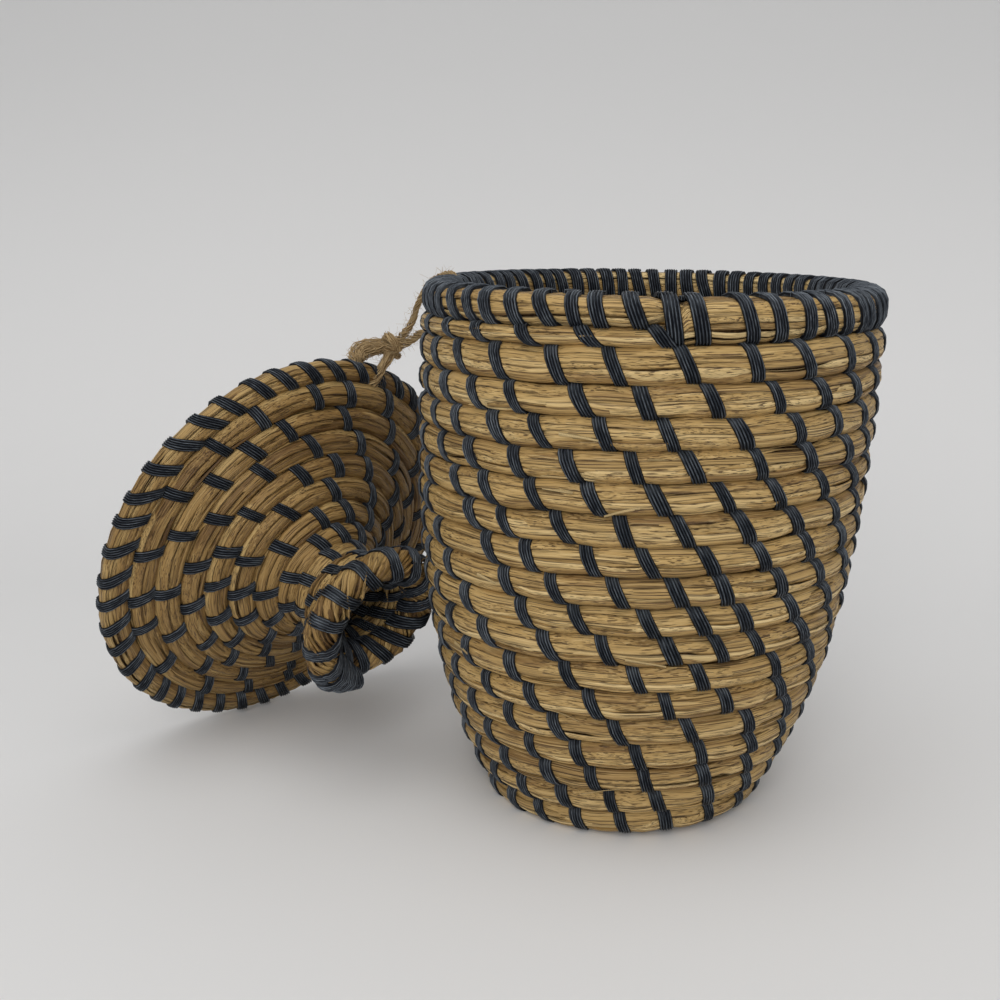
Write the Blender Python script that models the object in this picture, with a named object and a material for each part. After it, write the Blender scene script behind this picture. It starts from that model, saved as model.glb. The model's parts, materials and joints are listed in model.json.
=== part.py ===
"""Coiled grass basket with a tied lid, in metres, +Z up.

The basket stands on the floor with its base's centre at the origin and its front
towards -Y. A bundle of grass winds up from the middle of the base to the rim, and a
flat ribbon stitches each turn to the one below. The lid is a shallow wound cone with
a flared, hollow knob. Twine ties it to the rim at the back left, and it leans there,
taken off: its rim on the floor and its knob against the wall.

Each piece of the tie and of the lid is modelled where it lies with the basket closed,
and the two axes of the tie then swing it open.
"""

import math

import bmesh
import bpy
import numpy as np
from mathutils import Matrix, Vector

# Wound grass
TURN_POINTS = 24
LID_TURN_POINTS = 18
KNOB_TURN_POINTS = 14
COIL_GAP = 0.00045
TOUCH_GAP = 0.0003

# Basket
COURSE_PITCH = 0.00942
WALL_TURNS = 17 + 5 / TURN_POINTS
BASE_HALF_TURNS = 8
FOOT_RADIUS = 0.0454
RIM_RADIUS = 0.0756
WALL_CURVE = 3.6
MOUTH_SHIFT = 0.0055
COIL_START = math.radians(198)
FOOT_CUT = 0.0005
FOOT_LIFT = 0.0002

# Rim
RIM_TURNS = 1
RIM_DEPTH = 0.015
RIM_WIDTH = 0.0104

# Stitching ribbon
RIBBON_WIDTH = 0.0046
RIBBON_THICKNESS = 0.0008
RIBBON_LIFT = 0.0007
WALL_CHAINS = 25
WALL_CHAIN_DRIFT = math.radians(6.4)
WALL_CHAIN_START = math.radians(-102.8)
LID_CHAINS = 16
LID_CHAIN_DRIFT = math.radians(11)
KNOB_CHAINS = 8
KNOB_CHAIN_DRIFT = math.radians(20)

# Lid
LID_RADIUS = 0.078
LID_HEIGHT = 0.0622
LID_SEAT_DEPTH = 0.0045
LID_COIL_RADIUS = 0.0043
LID_START = math.radians(65)
KNOB_COIL_RADIUS = 0.0041
KNOB_TURNS = 3.5
KNOB_SHIFT = (-0.0065, -0.0038)
# Each row's radius and height, as shares of the lid's, from inside its rim to the neck
LID_ROW_SHARES = (
    (0.869, 0.027),
    (0.756, 0.072),
    (0.648, 0.124),
    (0.547, 0.182),
    (0.446, 0.246),
    (0.345, 0.320),
    (0.251, 0.410),
    (0.168, 0.517),
)
# The same for the knob's rows, from the neck out past its open end
KNOB_ROW_SHARES = (
    (0.168, 0.517),
    (0.172, 0.678),
    (0.205, 0.815),
    (0.262, 0.938),
    (0.323, 1.056),
)

# Twine
TWINE_RADIUS = 0.00125
KNOT_RADIUS = 0.0038
TIE_AZIMUTH = math.radians(158.7)
TIE_DROP = 0.0214
TIE_STANDOFF = 0.0026
KNOT_REACH = 0.0103
KNOT_DROP = 0.0040
LID_AXIS_DIP = math.radians(8.3)
LID_AXIS_TURN = math.radians(7.3)
LOOP_OFFSET = 0.0022
RIM_LOOP_OFFSET = 0.0036
TAIL_OFFSET = 0.0085
# Widest turn that either axis of the tie can make before the lid is laid down
MOST_TIE_TURN = math.radians(110)
MOST_LID_TURN = math.radians(200)

# A six-sided coil is this share of its corner radius from its middle to a flat side
SIDE_SHARE = math.cos(math.radians(30))

WALL_COIL_RADIUS = (COURSE_PITCH - COIL_GAP) / (2 * SIDE_SHARE)
WALL_START_HEIGHT = WALL_COIL_RADIUS * SIDE_SHARE + FOOT_LIFT
WALL_END_HEIGHT = WALL_START_HEIGHT + WALL_TURNS * COURSE_PITCH
BASKET_HEIGHT = WALL_END_HEIGHT - COURSE_PITCH / 2 + RIM_DEPTH


def outer_radius(height):
    """The basket's outer radius at a height: a round foot that rises into a steep wall."""
    left = max(0, 1 - height / BASKET_HEIGHT)
    return RIM_RADIUS - (RIM_RADIUS - FOOT_RADIUS) * left**WALL_CURVE


def middle(height):
    """The middle of the basket at a height: it leans a little to the right."""
    return Vector((MOUTH_SHIFT * height / BASKET_HEIGHT, 0, height))


def around(azimuth):
    """The direction outwards at an azimuth."""
    return Vector((math.cos(azimuth), math.sin(azimuth), 0))


def along(azimuth):
    """The direction in which a coil runs at an azimuth."""
    return Vector((-math.sin(azimuth), math.cos(azimuth), 0))


def wall_azimuth(turns):
    return COIL_START + 2 * math.pi * turns


def wall_height(turns):
    return WALL_START_HEIGHT + COURSE_PITCH * turns


def wall_point(turns, lift=0):
    """A point on the wall's coil, on its centreline or lift further out."""
    height = wall_height(turns)
    reach = outer_radius(height) - WALL_COIL_RADIUS + lift
    return middle(height) + around(wall_azimuth(turns)) * reach


def rim_half_height(turns):
    """Half the rim's height, which fills the room over the courses that still rise."""
    return (RIM_DEPTH - COURSE_PITCH * turns - COIL_GAP) / 2


def rim_share(turns):
    return rim_half_height(turns) / rim_half_height(0)


def rim_point(turns):
    azimuth = wall_azimuth(WALL_TURNS + turns)
    height = BASKET_HEIGHT - rim_half_height(turns)
    reach = outer_radius(height) - RIM_WIDTH / 2
    return middle(height) + around(azimuth) * reach


def row_between(rows, turns):
    """A row's radius and height at a fraction of a turn, read between two rows."""
    lower = min(int(turns), len(rows) - 2)
    part = turns - lower
    near, far = rows[lower], rows[lower + 1]
    radius_share = near[0] + (far[0] - near[0]) * part
    height_share = near[1] + (far[1] - near[1]) * part
    return radius_share * LID_RADIUS, height_share * LID_HEIGHT


def lid_azimuth(turns):
    return LID_START + 2 * math.pi * turns


def lid_row_point(rows, turns, lift=0):
    """A point of the lid's or the knob's coil, on its centreline or lift off it.

    The knob stands a little off the lid's middle, and the rows lean towards it.
    """
    radius, height = row_between(rows, turns)
    ahead = row_between(rows, min(turns + 0.5, len(rows) - 1))
    behind = row_between(rows, max(turns - 0.5, 0))
    slope = Vector((ahead[0] - behind[0], ahead[1] - behind[1])).normalized()
    lean = (height / LID_HEIGHT) ** 2
    centre = Vector((KNOB_SHIFT[0] * lean, KNOB_SHIFT[1] * lean, height))
    out = around(lid_azimuth(turns))
    return centre + out * (radius + slope.y * lift) + Vector((0, 0, -slope.x * lift))


def material(name, colour, roughness):
    made = bpy.data.materials.new(name)
    made.use_nodes = True
    shader = made.node_tree.nodes["Principled BSDF"]
    shader.inputs["Base Color"].default_value = (*colour, 1)
    shader.inputs["Roughness"].default_value = roughness
    shader.inputs["Metallic"].default_value = 0
    return made


def add(name, data, finish):
    obj = bpy.data.objects.new(name, data)
    obj.data.materials.append(finish)
    bpy.context.scene.collection.objects.link(obj)
    return obj


def tube(name, points, radius, finish, shares=None, sides_step=1, extrude=0, twist="Z_UP"):
    """A round tube along the points, thinner where its share is under one."""
    curve = bpy.data.curves.new(name, "CURVE")
    curve.dimensions = "3D"
    curve.twist_mode = twist
    curve.bevel_depth = radius
    curve.bevel_resolution = sides_step
    curve.extrude = extrude
    curve.use_fill_caps = True
    spline = curve.splines.new("POLY")
    spline.points.add(len(points) - 1)
    for index, point in enumerate(points):
        spline.points[index].co = (*point, 1)
        spline.points[index].radius = shares[index] if shares else 1
    spline.use_smooth = True
    return add(name, curve, finish)


def straight_start(points, direction, length):
    """The points, with a straight run of this length from the first one."""
    first = points[0] + direction * TOUCH_GAP / 2
    run_end = points[0] + direction * length
    kept = [point for point in points[1:] if (point - points[0]).length > 1.3 * length]
    return [first, run_end, *kept]


def straight_end(points, direction, length):
    turned = straight_start(points[::-1], -direction, length)
    return turned[::-1]


def outline(point, run, radius):
    """Points on the six-sided outline of a coil where it runs this way."""
    out = Vector((run.y, -run.x, 0)).normalized() * radius
    up = Vector((0, 0, radius))
    corners = [math.radians(60 * corner) for corner in range(7)]
    corners = [out * math.cos(angle) + up * math.sin(angle) for angle in corners]
    quarters = (0, 0.25, 0.5, 0.75)
    pairs = zip(corners, corners[1:])
    return [tuple(point + near.lerp(far, part)) for near, far in pairs for part in quarters]


def print_least_gap(name, points, radius, per_turn):
    """Prints how near a coil comes to its own other turns, read on its outlines."""
    ends = [points[0], *points, points[-1]]
    runs = [after - before for before, after in zip(ends, ends[2:])]
    rings = np.array([outline(point, run, radius) for point, run in zip(points, runs)])
    centres = np.array([tuple(point) for point in points])
    least = math.inf
    for index in range(len(points) - per_turn // 2):
        others = np.arange(index + per_turn // 2, len(points))
        near = np.linalg.norm(centres[others] - centres[index], axis=1) < 3 * radius
        for other in others[near]:
            apart = rings[index][:, None] - rings[other][None]
            least = min(least, float(np.linalg.norm(apart, axis=2).min()))
    print(f"{name}: least gap between its turns {least * 1000:.2f} mm")


def ribbon(name, points, outs, finish):
    """One flat closed strip along the points, its inner face on them."""
    mesh = bmesh.new()
    rings = []
    for index, point in enumerate(points):
        ahead = points[min(index + 1, len(points) - 1)]
        behind = points[max(index - 1, 0)]
        run = (ahead - behind).normalized()
        side = run.cross(outs[index]).normalized() * RIBBON_WIDTH / 2
        rise = side.cross(run).normalized() * RIBBON_THICKNESS
        corners = (point - side, point + side, point + side + rise, point - side + rise)
        rings.append([mesh.verts.new(corner) for corner in corners])
    for near, far in zip(rings, rings[1:]):
        for corner in range(4):
            after = (corner + 1) % 4
            mesh.faces.new((near[corner], near[after], far[after], far[corner]))
    mesh.faces.new(rings[0][::-1])
    mesh.faces.new(rings[-1])
    bmesh.ops.recalc_face_normals(mesh, faces=mesh.faces)
    data = bpy.data.meshes.new(name)
    mesh.to_mesh(data)
    mesh.free()
    return add(name, data, finish)


def stitching(name, chains, crest, finish):
    """A ribbon that runs down one chain of stitches and up the next, as one strip.

    Each chain lists its crests in turns of the coil, and crest gives the point and the
    direction outwards there. From chain to chain the ribbon follows the coil.
    """
    turns = []
    for index, chain in enumerate(chains):
        chain = chain if index % 2 == 0 else chain[::-1]
        if turns and abs(turns[-1] - chain[0]) > 0.5:
            # Of two neighbours, the one that reaches a row further gives up its last stitch
            if abs(turns[-2] - chain[0]) < 0.5:
                turns.pop()
            else:
                chain = chain[1:]
        if turns:
            turns.append((turns[-1] + chain[0]) / 2)
        turns += chain
    points, outs = zip(*(crest(turn) for turn in turns))
    return ribbon(name, points, outs, finish)


def clear_scene():
    for obj in list(bpy.data.objects):
        bpy.data.objects.remove(obj)


def base_step():
    """How much the radius of each half circle of the base's spiral grows."""
    end_radius = outer_radius(WALL_START_HEIGHT) - WALL_COIL_RADIUS
    return end_radius / (BASE_HALF_TURNS + 1 / 2)


def base_coil_radius():
    """The base's coil fits its spiral where the two centres draw together fastest."""
    return (2 * base_step() - 2 * COIL_GAP) / (2 + 2 / (BASE_HALF_TURNS - 1))


def base_points():
    """The base's spiral, of half circles about two centres that draw together.

    It starts as a straight run, one coil thick, right through the middle.
    """
    step = base_step()
    height = base_coil_radius() * SIDE_SHARE - FOOT_CUT
    turn_back = Matrix.Rotation(COIL_START + math.pi / 2, 4, "Z")
    half_points = TURN_POINTS // 2
    points = [Vector((-base_coil_radius(), 0, height))]
    for half in range(BASE_HALF_TURNS):
        done = half / (BASE_HALF_TURNS - 1)
        spread = base_coil_radius() * (1 - done)
        if half % 2 == 0:
            centre = Vector((spread, step - step * done / 2, height))
        else:
            centre = Vector((-spread, -step * done / 2, height))
        radius = step * (half + 1)
        for index in range(half_points + 1):
            angle = math.pi * (half - 0.5 + index / half_points)
            point = centre + around(angle) * radius
            if (point - points[-1]).length > step / 4:
                points.append(point)
    return [turn_back @ point for point in points]


def base_coil(grass):
    radius = base_coil_radius()
    points = base_points()
    points = straight_end(points, along(COIL_START), 2 * radius)
    print_least_gap("base_coil", points, radius, TURN_POINTS)
    wound = tube("base_coil", points, radius, grass)
    graph = bpy.context.evaluated_depsgraph_get()
    data = bpy.data.meshes.new_from_object(wound.evaluated_get(graph))
    bpy.data.objects.remove(wound)
    coil = add("base_coil", data, grass)
    floor = bpy.data.meshes.new("base_floor")
    mesh = bmesh.new()
    bmesh.ops.create_cube(mesh, size=1)
    mesh.to_mesh(floor)
    mesh.free()
    cutter = bpy.data.objects.new("base_floor", floor)
    depth = 2 * radius
    cutter.scale = (4 * FOOT_RADIUS, 4 * FOOT_RADIUS, depth)
    cutter.location = (0, 0, -depth / 2)
    cutter.hide_render = True
    cutter.display_type = "WIRE"
    bpy.context.scene.collection.objects.link(cutter)
    cut = coil.modifiers.new("flat_foot", "BOOLEAN")
    cut.operation = "DIFFERENCE"
    cut.solver = "EXACT"
    cut.object = cutter
    return coil


def wall_coil(grass):
    count = round(WALL_TURNS * TURN_POINTS)
    points = [wall_point(index / TURN_POINTS) for index in range(count + 1)]
    points = straight_start(points, along(COIL_START), 2 * WALL_COIL_RADIUS)
    points = straight_end(points, along(wall_azimuth(WALL_TURNS)), 2 * WALL_COIL_RADIUS)
    print_least_gap("wall_coil", points, WALL_COIL_RADIUS, TURN_POINTS)
    return tube("wall_coil", points, WALL_COIL_RADIUS, grass)


def rim_coil(grass):
    """The last turn, a taller bundle that thins out until it ends on its own start."""
    count = round(RIM_TURNS * TURN_POINTS)
    turns = [index / TURN_POINTS for index in range(count + 1)]
    points = [rim_point(turn) for turn in turns]
    shares = [rim_share(turn) for turn in turns]
    run = along(wall_azimuth(WALL_TURNS))
    points[0] = points[0] + run * TOUCH_GAP / 2
    points[-1] = points[-1] - run * TOUCH_GAP / 2
    points.insert(1, points[0] + run * RIM_WIDTH)
    shares.insert(1, shares[0])
    points.insert(-1, points[-1] - run * RIM_WIDTH * shares[-1])
    shares.insert(-1, shares[-1])
    corner = RIM_WIDTH / 2
    stretch = rim_half_height(0) - corner
    return tube("rim_coil", points, corner, grass, shares, extrude=stretch)


def wall_crest(turns):
    return wall_point(turns, WALL_COIL_RADIUS + RIBBON_LIFT), around(wall_azimuth(turns))


def wall_binder(ribbon_finish):
    """Chains of slanted stitches, each lying on the crests of all the courses."""
    begin = (WALL_CHAIN_START - COIL_START) / (2 * math.pi)
    tops = [(begin + chain / WALL_CHAINS) % 1 for chain in range(WALL_CHAINS)]
    tops = sorted(top + math.floor(WALL_TURNS - top) for top in tops)
    drift = 1 - WALL_CHAIN_DRIFT / (2 * math.pi)
    chains = []
    for top in tops:
        courses = int((top - 1 / TURN_POINTS) / drift) + 1
        chains.append([top - course * drift for course in range(courses)])
    return stitching("wall_binder", chains, wall_crest, ribbon_finish)


def closed_lid():
    """Where the lid lies when closed, tipped so that it clears the twine on the rim."""
    place = Matrix.Translation(middle(BASKET_HEIGHT + LID_SEAT_DEPTH + TOUCH_GAP))
    out = around(TIE_AZIMUTH)
    tip = math.asin((2 * TWINE_RADIUS + TOUCH_GAP) / (2 * LID_RADIUS))
    far = Matrix.Translation(-out * LID_RADIUS)
    return place @ far @ Matrix.Rotation(-tip, 4, along(TIE_AZIMUTH)) @ far.inverted()


def lid_rim_radius(turns):
    """The rim's bundle fills the room from the row inside it out to the lid's round edge."""
    inside = row_between(LID_ROW_SHARES, turns)[0] + LID_COIL_RADIUS + COIL_GAP
    return (LID_RADIUS - inside) / 2


def lid_rim_place(turns):
    """The radius and the height of the rim's bundle, whose underside lies level."""
    thick = lid_rim_radius(turns)
    return LID_RADIUS - thick, thick * SIDE_SHARE - LID_SEAT_DEPTH


def lid_rim_point(turns):
    radius, height = lid_rim_place(turns)
    return around(lid_azimuth(turns)) * radius + Vector((0, 0, height))


def lid_rim_coil(grass):
    """The lid's outer row, the last turn of its coil, which thins out to its end."""
    turns = [index / LID_TURN_POINTS for index in range(LID_TURN_POINTS + 1)]
    points = [lid_rim_point(turn) for turn in turns]
    radii = [lid_rim_radius(turn) for turn in turns]
    run = along(LID_START)
    points[0] = points[0] + run * TOUCH_GAP / 2
    points[-1] = points[-1] - run * TOUCH_GAP / 2
    points.insert(1, points[0] + run * 2 * radii[0])
    points.insert(-1, points[-1] - run * 2 * radii[-1])
    radii.insert(1, radii[0])
    radii.insert(-1, radii[-1])
    shares = [radius / LID_COIL_RADIUS for radius in radii]
    return tube("lid_rim_coil", points, LID_COIL_RADIUS, grass, shares)


def neck_seat():
    """Where the lid's coil passes into the knob's, and the way it runs there."""
    last = len(LID_ROW_SHARES) - 1
    before = lid_row_point(LID_ROW_SHARES, last - 0.5 / LID_TURN_POINTS)
    after = lid_row_point(KNOB_ROW_SHARES, 0.5 / KNOB_TURN_POINTS)
    return (before + after) / 2, (after - before).normalized()


def lid_coil(grass):
    last = (len(LID_ROW_SHARES) - 1) * LID_TURN_POINTS
    turns = [0, *((index + 0.5) / LID_TURN_POINTS for index in range(last))]
    points = [lid_row_point(LID_ROW_SHARES, turn) for turn in turns]
    points = straight_start(points, along(LID_START), 2 * LID_COIL_RADIUS)
    seat, run = neck_seat()
    points.append(seat - run * TOUCH_GAP / 2)
    print_least_gap("lid_coil", points, LID_COIL_RADIUS, LID_TURN_POINTS)
    return tube("lid_coil", points, LID_COIL_RADIUS, grass)


def knob_coil(grass):
    last = round(KNOB_TURNS * KNOB_TURN_POINTS)
    turns = [(index + 0.5) / KNOB_TURN_POINTS for index in range(last)]
    seat, run = neck_seat()
    points = [seat + run * TOUCH_GAP / 2]
    points += [lid_row_point(KNOB_ROW_SHARES, turn) for turn in turns]
    print_least_gap("knob_coil", points, KNOB_COIL_RADIUS, KNOB_TURN_POINTS)
    return tube("knob_coil", points, KNOB_COIL_RADIUS, grass)


def swirl(name, rows, last_turn, chains, drift, coil_radius, finish):
    """Stitching over the rows' crests, each chain turning on alike at every row."""

    def crest(turn):
        point = lid_row_point(rows, turn, lift=coil_radius + RIBBON_LIFT)
        return point, point - lid_row_point(rows, turn)

    step = 1 - drift / (2 * math.pi)
    runs = []
    for chain in range(chains):
        begin = (chain + 0.5) / chains
        crests = int((last_turn - begin) / step) + 1
        runs.append([begin + index * step for index in range(crests)])
    return stitching(name, runs, crest, finish)


def local_frame(offset):
    """Right-handed frame at the tie: outwards, sideways and up, offset sideways."""
    out = around(TIE_AZIMUTH)
    side = along(TIE_AZIMUTH)

    def place(reach, height):
        return out * reach + side * offset + Vector((0, 0, height))

    return place


def knot_place():
    """The knot, beyond the closed lid's rim."""
    reach = LID_RADIUS + KNOT_REACH
    return closed_lid() @ local_frame(0)(reach, -KNOT_DROP)


def tie_root():
    """Where the lower strand comes out of the wall, on the tie's first axis."""
    height = BASKET_HEIGHT - TIE_DROP
    reach = outer_radius(height) + TIE_STANDOFF
    return middle(height) + around(TIE_AZIMUTH) * reach


def tie_axis_direction():
    """Turning about it closes the basket: outwards, then up, then in."""
    out = around(TIE_AZIMUTH)
    return Vector((out.y, -out.x, 0))


def lid_axis_direction():
    side = along(TIE_AZIMUTH) * math.cos(LID_AXIS_DIP) + Vector((0, 0, math.sin(LID_AXIS_DIP)))
    return -(Matrix.Rotation(LID_AXIS_TURN, 3, "Z") @ side)


def round_lid_rim(place, start, end, steps):
    """Points round the lid's rim row at the tie, clear of it, between two angles."""
    turns = (TIE_AZIMUTH - LID_START) / (2 * math.pi) % 1
    radius, height = lid_rim_place(turns)
    clear = lid_rim_radius(turns) + TWINE_RADIUS + TOUCH_GAP
    points = []
    for step in range(steps + 1):
        angle = math.radians(start + (end - start) * step / steps)
        points.append(place(radius + math.cos(angle) * clear, height + math.sin(angle) * clear))
    return points


def tie_rim_loop(twine):
    """The strand that goes over the rim, from inside the mouth down towards the knot."""
    turn = (TIE_AZIMUTH + 2 * math.pi - COIL_START) / (2 * math.pi)
    turn += math.floor(WALL_TURNS + RIM_TURNS - turn)
    turns = turn - WALL_TURNS
    half_height = rim_half_height(turns)
    height = BASKET_HEIGHT - half_height
    reach = outer_radius(height) - RIM_WIDTH / 2 + middle(height).dot(around(TIE_AZIMUTH))
    half_width = RIM_WIDTH / 2 * rim_share(turns)
    clear = TWINE_RADIUS + TOUCH_GAP
    place = local_frame(RIM_LOOP_OFFSET)
    flat = RIM_RADIUS * (1 - math.cos(math.pi / TURN_POINTS))
    over = [
        place(reach - half_width - clear - flat, height - half_height / 2),
        place(reach - half_width - clear - flat, height + half_height / 2),
        place(reach - half_width / 2 - flat, height + half_height + clear),
        place(reach + half_width / 2, height + half_height + clear),
    ]
    shoulder = place(reach + half_width + 2 * clear, BASKET_HEIGHT - half_height)
    beside_knot = knot_at_rest() + along(TIE_AZIMUTH) * RIM_LOOP_OFFSET
    stop = shoulder.lerp(beside_knot, rim_loop_share(shoulder, beside_knot))
    return tube(
        "tie_rim_loop",
        [*over, shoulder, stop],
        TWINE_RADIUS,
        twine,
        sides_step=2,
        twist="MINIMUM",
    )


def rim_loop_share(shoulder, beside_knot):
    """How far the rim's strand runs towards the knot and stays inside the knot's swing."""
    root = tie_root()
    room = (knot_at_rest() - root).length - KNOT_RADIUS - TWINE_RADIUS - TOUCH_GAP
    share = 1
    while (shoulder.lerp(beside_knot, share) - root).length > room and share > 0:
        share -= 0.01
    return share


def tie_strand(twine):
    """The strand from the wall to the knot."""
    root = tie_root()
    knot = knot_place()
    run = (knot - root).normalized()
    end = knot - run * (KNOT_RADIUS + TOUCH_GAP)
    points = [root.lerp(end, step / 3) for step in range(4)]
    return tube("tie_strand", points, TWINE_RADIUS, twine, sides_step=2, twist="MINIMUM")


def tie_knot(twine):
    mesh = bmesh.new()
    bmesh.ops.create_icosphere(mesh, subdivisions=2, radius=KNOT_RADIUS)
    bmesh.ops.translate(mesh, verts=mesh.verts, vec=knot_place())
    data = bpy.data.meshes.new("tie_knot")
    mesh.to_mesh(data)
    mesh.free()
    data.shade_smooth()
    return add("tie_knot", data, twine)


def tie_lid_loop(twine):
    """The strand from the knot over the lid's rim row, down into the groove behind it."""
    place = local_frame(LOOP_OFFSET)
    over = round_lid_rim(place, 118, 22, 4)
    knot = closed_lid().inverted() @ knot_place()
    run = (knot - over[-1]).normalized()
    end = knot - run * (KNOT_RADIUS + TOUCH_GAP)
    return tube(
        "tie_lid_loop", [*over, end], TWINE_RADIUS, twine, sides_step=2, twist="MINIMUM"
    )


def tie_tail(twine):
    """The knot's loose end, which bends round the outside of the lid's rim row."""
    place = local_frame(-TAIL_OFFSET)
    under = round_lid_rim(place, -48, 0, 2)
    knot = closed_lid().inverted() @ knot_place()
    run = (knot - under[-1]).normalized()
    end = knot - run * (KNOT_RADIUS + TOUCH_GAP)
    return tube("tie_tail", [*under, end], TWINE_RADIUS, twine, sides_step=2, twist="MINIMUM")


def turned_about(point, axis, angle):
    return Matrix.Translation(point) @ Matrix.Rotation(angle, 4, axis) @ Matrix.Translation(-point)


def laid_down(tie_turn, lid_turn):
    """How the closed lid moves when both axes open by these turns."""
    swing = turned_about(tie_root(), tie_axis_direction(), -tie_turn)
    return swing @ turned_about(knot_place(), lid_axis_direction(), -lid_turn) @ closed_lid()


def knob_clearance(place):
    """From the knob's open end to the basket's wall."""
    least = RIM_RADIUS
    for index in range(KNOB_TURN_POINTS + 1):
        turns = KNOB_TURNS - index / KNOB_TURN_POINTS
        point = place @ lid_row_point(KNOB_ROW_SHARES, turns)
        from_middle = point - middle(point.z)
        least = min(least, from_middle.length - outer_radius(point.z) - KNOB_COIL_RADIUS)
    return least - RIBBON_LIFT - RIBBON_THICKNESS


def floor_clearance(place):
    """From the lid's rim row to the floor."""
    turns = [index / LID_TURN_POINTS for index in range(LID_TURN_POINTS + 1)]
    return min((place @ lid_rim_point(turn)).z - lid_rim_radius(turn) for turn in turns)


def halved(low, high, clearance):
    """The turn between low and high at which the clearance comes down to the touch gap."""
    for _ in range(40):
        half = (low + high) / 2
        if clearance(half) > TOUCH_GAP:
            low = half
        else:
            high = half
    return low


def lid_turn_for(tie_turn):
    """Opens the lid about its own axis until the knob leans on the wall."""
    return halved(
        MOST_LID_TURN / 2,
        MOST_LID_TURN,
        lambda turn: knob_clearance(laid_down(tie_turn, turn)),
    )


def rest_turns():
    """The two turns that lay the lid on the floor with its knob against the wall."""
    tie_turn = halved(
        MOST_TIE_TURN / 3,
        MOST_TIE_TURN,
        lambda turn: floor_clearance(laid_down(turn, lid_turn_for(turn))),
    )
    return tie_turn, lid_turn_for(tie_turn)


REST_TURNS = rest_turns()


def knot_at_rest():
    return turned_about(tie_root(), tie_axis_direction(), -REST_TURNS[0]) @ knot_place()


def joint_axis(name, point, axis, opened, parent=None, parent_closed=None):
    """An empty on a joint's axis, its X along it, and its matrix with the basket closed."""
    closed = Matrix.Translation(point) @ axis.to_track_quat("X", "Z").to_matrix().to_4x4()
    empty = bpy.data.objects.new(name, None)
    bpy.context.scene.collection.objects.link(empty)
    if parent:
        empty.parent = parent
        empty.matrix_parent_inverse = parent_closed.inverted()
    empty.matrix_basis = closed @ Matrix.Rotation(-opened, 4, "X")
    return empty, closed


def carry(pieces, empty, closed, place=None):
    """Hangs pieces on a joint's empty, from where they lie with the basket closed."""
    for piece in pieces:
        piece.parent = empty
        piece.matrix_parent_inverse = closed.inverted()
        piece.matrix_basis = place or Matrix.Identity(4)


def main():
    clear_scene()
    wall_grass = material("wall_grass", (0.47, 0.32, 0.14), 0.62)
    lid_grass = material("lid_grass", (0.44, 0.29, 0.12), 0.62)
    ribbon_finish = material("blue_grey_ribbon", (0.045, 0.055, 0.068), 0.38)
    twine = material("jute_twine", (0.40, 0.30, 0.17), 0.9)

    base_coil(wall_grass)
    wall_coil(wall_grass)
    rim_coil(wall_grass)
    wall_binder(ribbon_finish)
    tie_rim_loop(twine)

    tie_turn, lid_turn = REST_TURNS
    tie_empty, tie_closed = joint_axis(
        "tie_swing_axis", tie_root(), tie_axis_direction(), tie_turn
    )
    lid_empty, lid_closed = joint_axis(
        "lid_swing_axis", knot_place(), lid_axis_direction(), lid_turn, tie_empty, tie_closed
    )
    carry([tie_strand(twine), tie_knot(twine)], tie_empty, tie_closed)
    lid_pieces = [
        lid_rim_coil(lid_grass),
        lid_coil(lid_grass),
        knob_coil(lid_grass),
        swirl(
            "lid_binder",
            LID_ROW_SHARES,
            len(LID_ROW_SHARES) - 2,
            LID_CHAINS,
            LID_CHAIN_DRIFT,
            LID_COIL_RADIUS,
            ribbon_finish,
        ),
        swirl(
            "knob_binder",
            KNOB_ROW_SHARES,
            KNOB_TURNS,
            KNOB_CHAINS,
            KNOB_CHAIN_DRIFT,
            KNOB_COIL_RADIUS,
            ribbon_finish,
        ),
        tie_lid_loop(twine),
        tie_tail(twine),
    ]
    carry(lid_pieces, lid_empty, lid_closed, closed_lid())

    swing = turned_about(tie_root(), tie_axis_direction(), -tie_turn)
    lid_axis = swing.to_3x3() @ lid_axis_direction()
    for name, point, axis, turn in (
        ("tie_swing", tie_root(), tie_axis_direction(), tie_turn),
        ("lid_swing", knot_at_rest(), lid_axis, lid_turn),
    ):
        place = ", ".join(f"{value:.5f}" for value in point)
        way = ", ".join(f"{value:.5f}" for value in axis)
        print(f"{name}: at ({place}) m about ({way}), closes by {math.degrees(turn):.2f} degrees")


main()
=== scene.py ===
import json
import math

import bpy
import numpy as np
from mathutils import Matrix, Vector


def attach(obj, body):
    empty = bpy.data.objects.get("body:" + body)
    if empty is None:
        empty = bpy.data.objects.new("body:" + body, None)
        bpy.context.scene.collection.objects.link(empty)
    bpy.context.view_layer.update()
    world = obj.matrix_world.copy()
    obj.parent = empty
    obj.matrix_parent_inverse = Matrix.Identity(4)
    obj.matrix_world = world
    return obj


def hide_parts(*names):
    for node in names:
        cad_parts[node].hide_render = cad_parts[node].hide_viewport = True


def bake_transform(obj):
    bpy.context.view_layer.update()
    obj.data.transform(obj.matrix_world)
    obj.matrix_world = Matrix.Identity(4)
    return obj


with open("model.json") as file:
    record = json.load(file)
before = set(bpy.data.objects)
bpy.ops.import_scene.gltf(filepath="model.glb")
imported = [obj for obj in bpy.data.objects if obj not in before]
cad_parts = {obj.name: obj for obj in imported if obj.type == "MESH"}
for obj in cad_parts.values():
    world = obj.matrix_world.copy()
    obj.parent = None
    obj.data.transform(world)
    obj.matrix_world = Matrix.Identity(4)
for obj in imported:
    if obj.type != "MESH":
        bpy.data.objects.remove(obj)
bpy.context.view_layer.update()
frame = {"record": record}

# Camera
# A phone held a little above the rim and turned slightly to the left, with the whole basket
# and its lid in a square frame.
FOCAL_PX = 1249.5
FRAME_PX = 1000
SENSOR = 36
CAMERA_PLACE = Vector((0, -0.42396, 0.20096))
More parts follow.
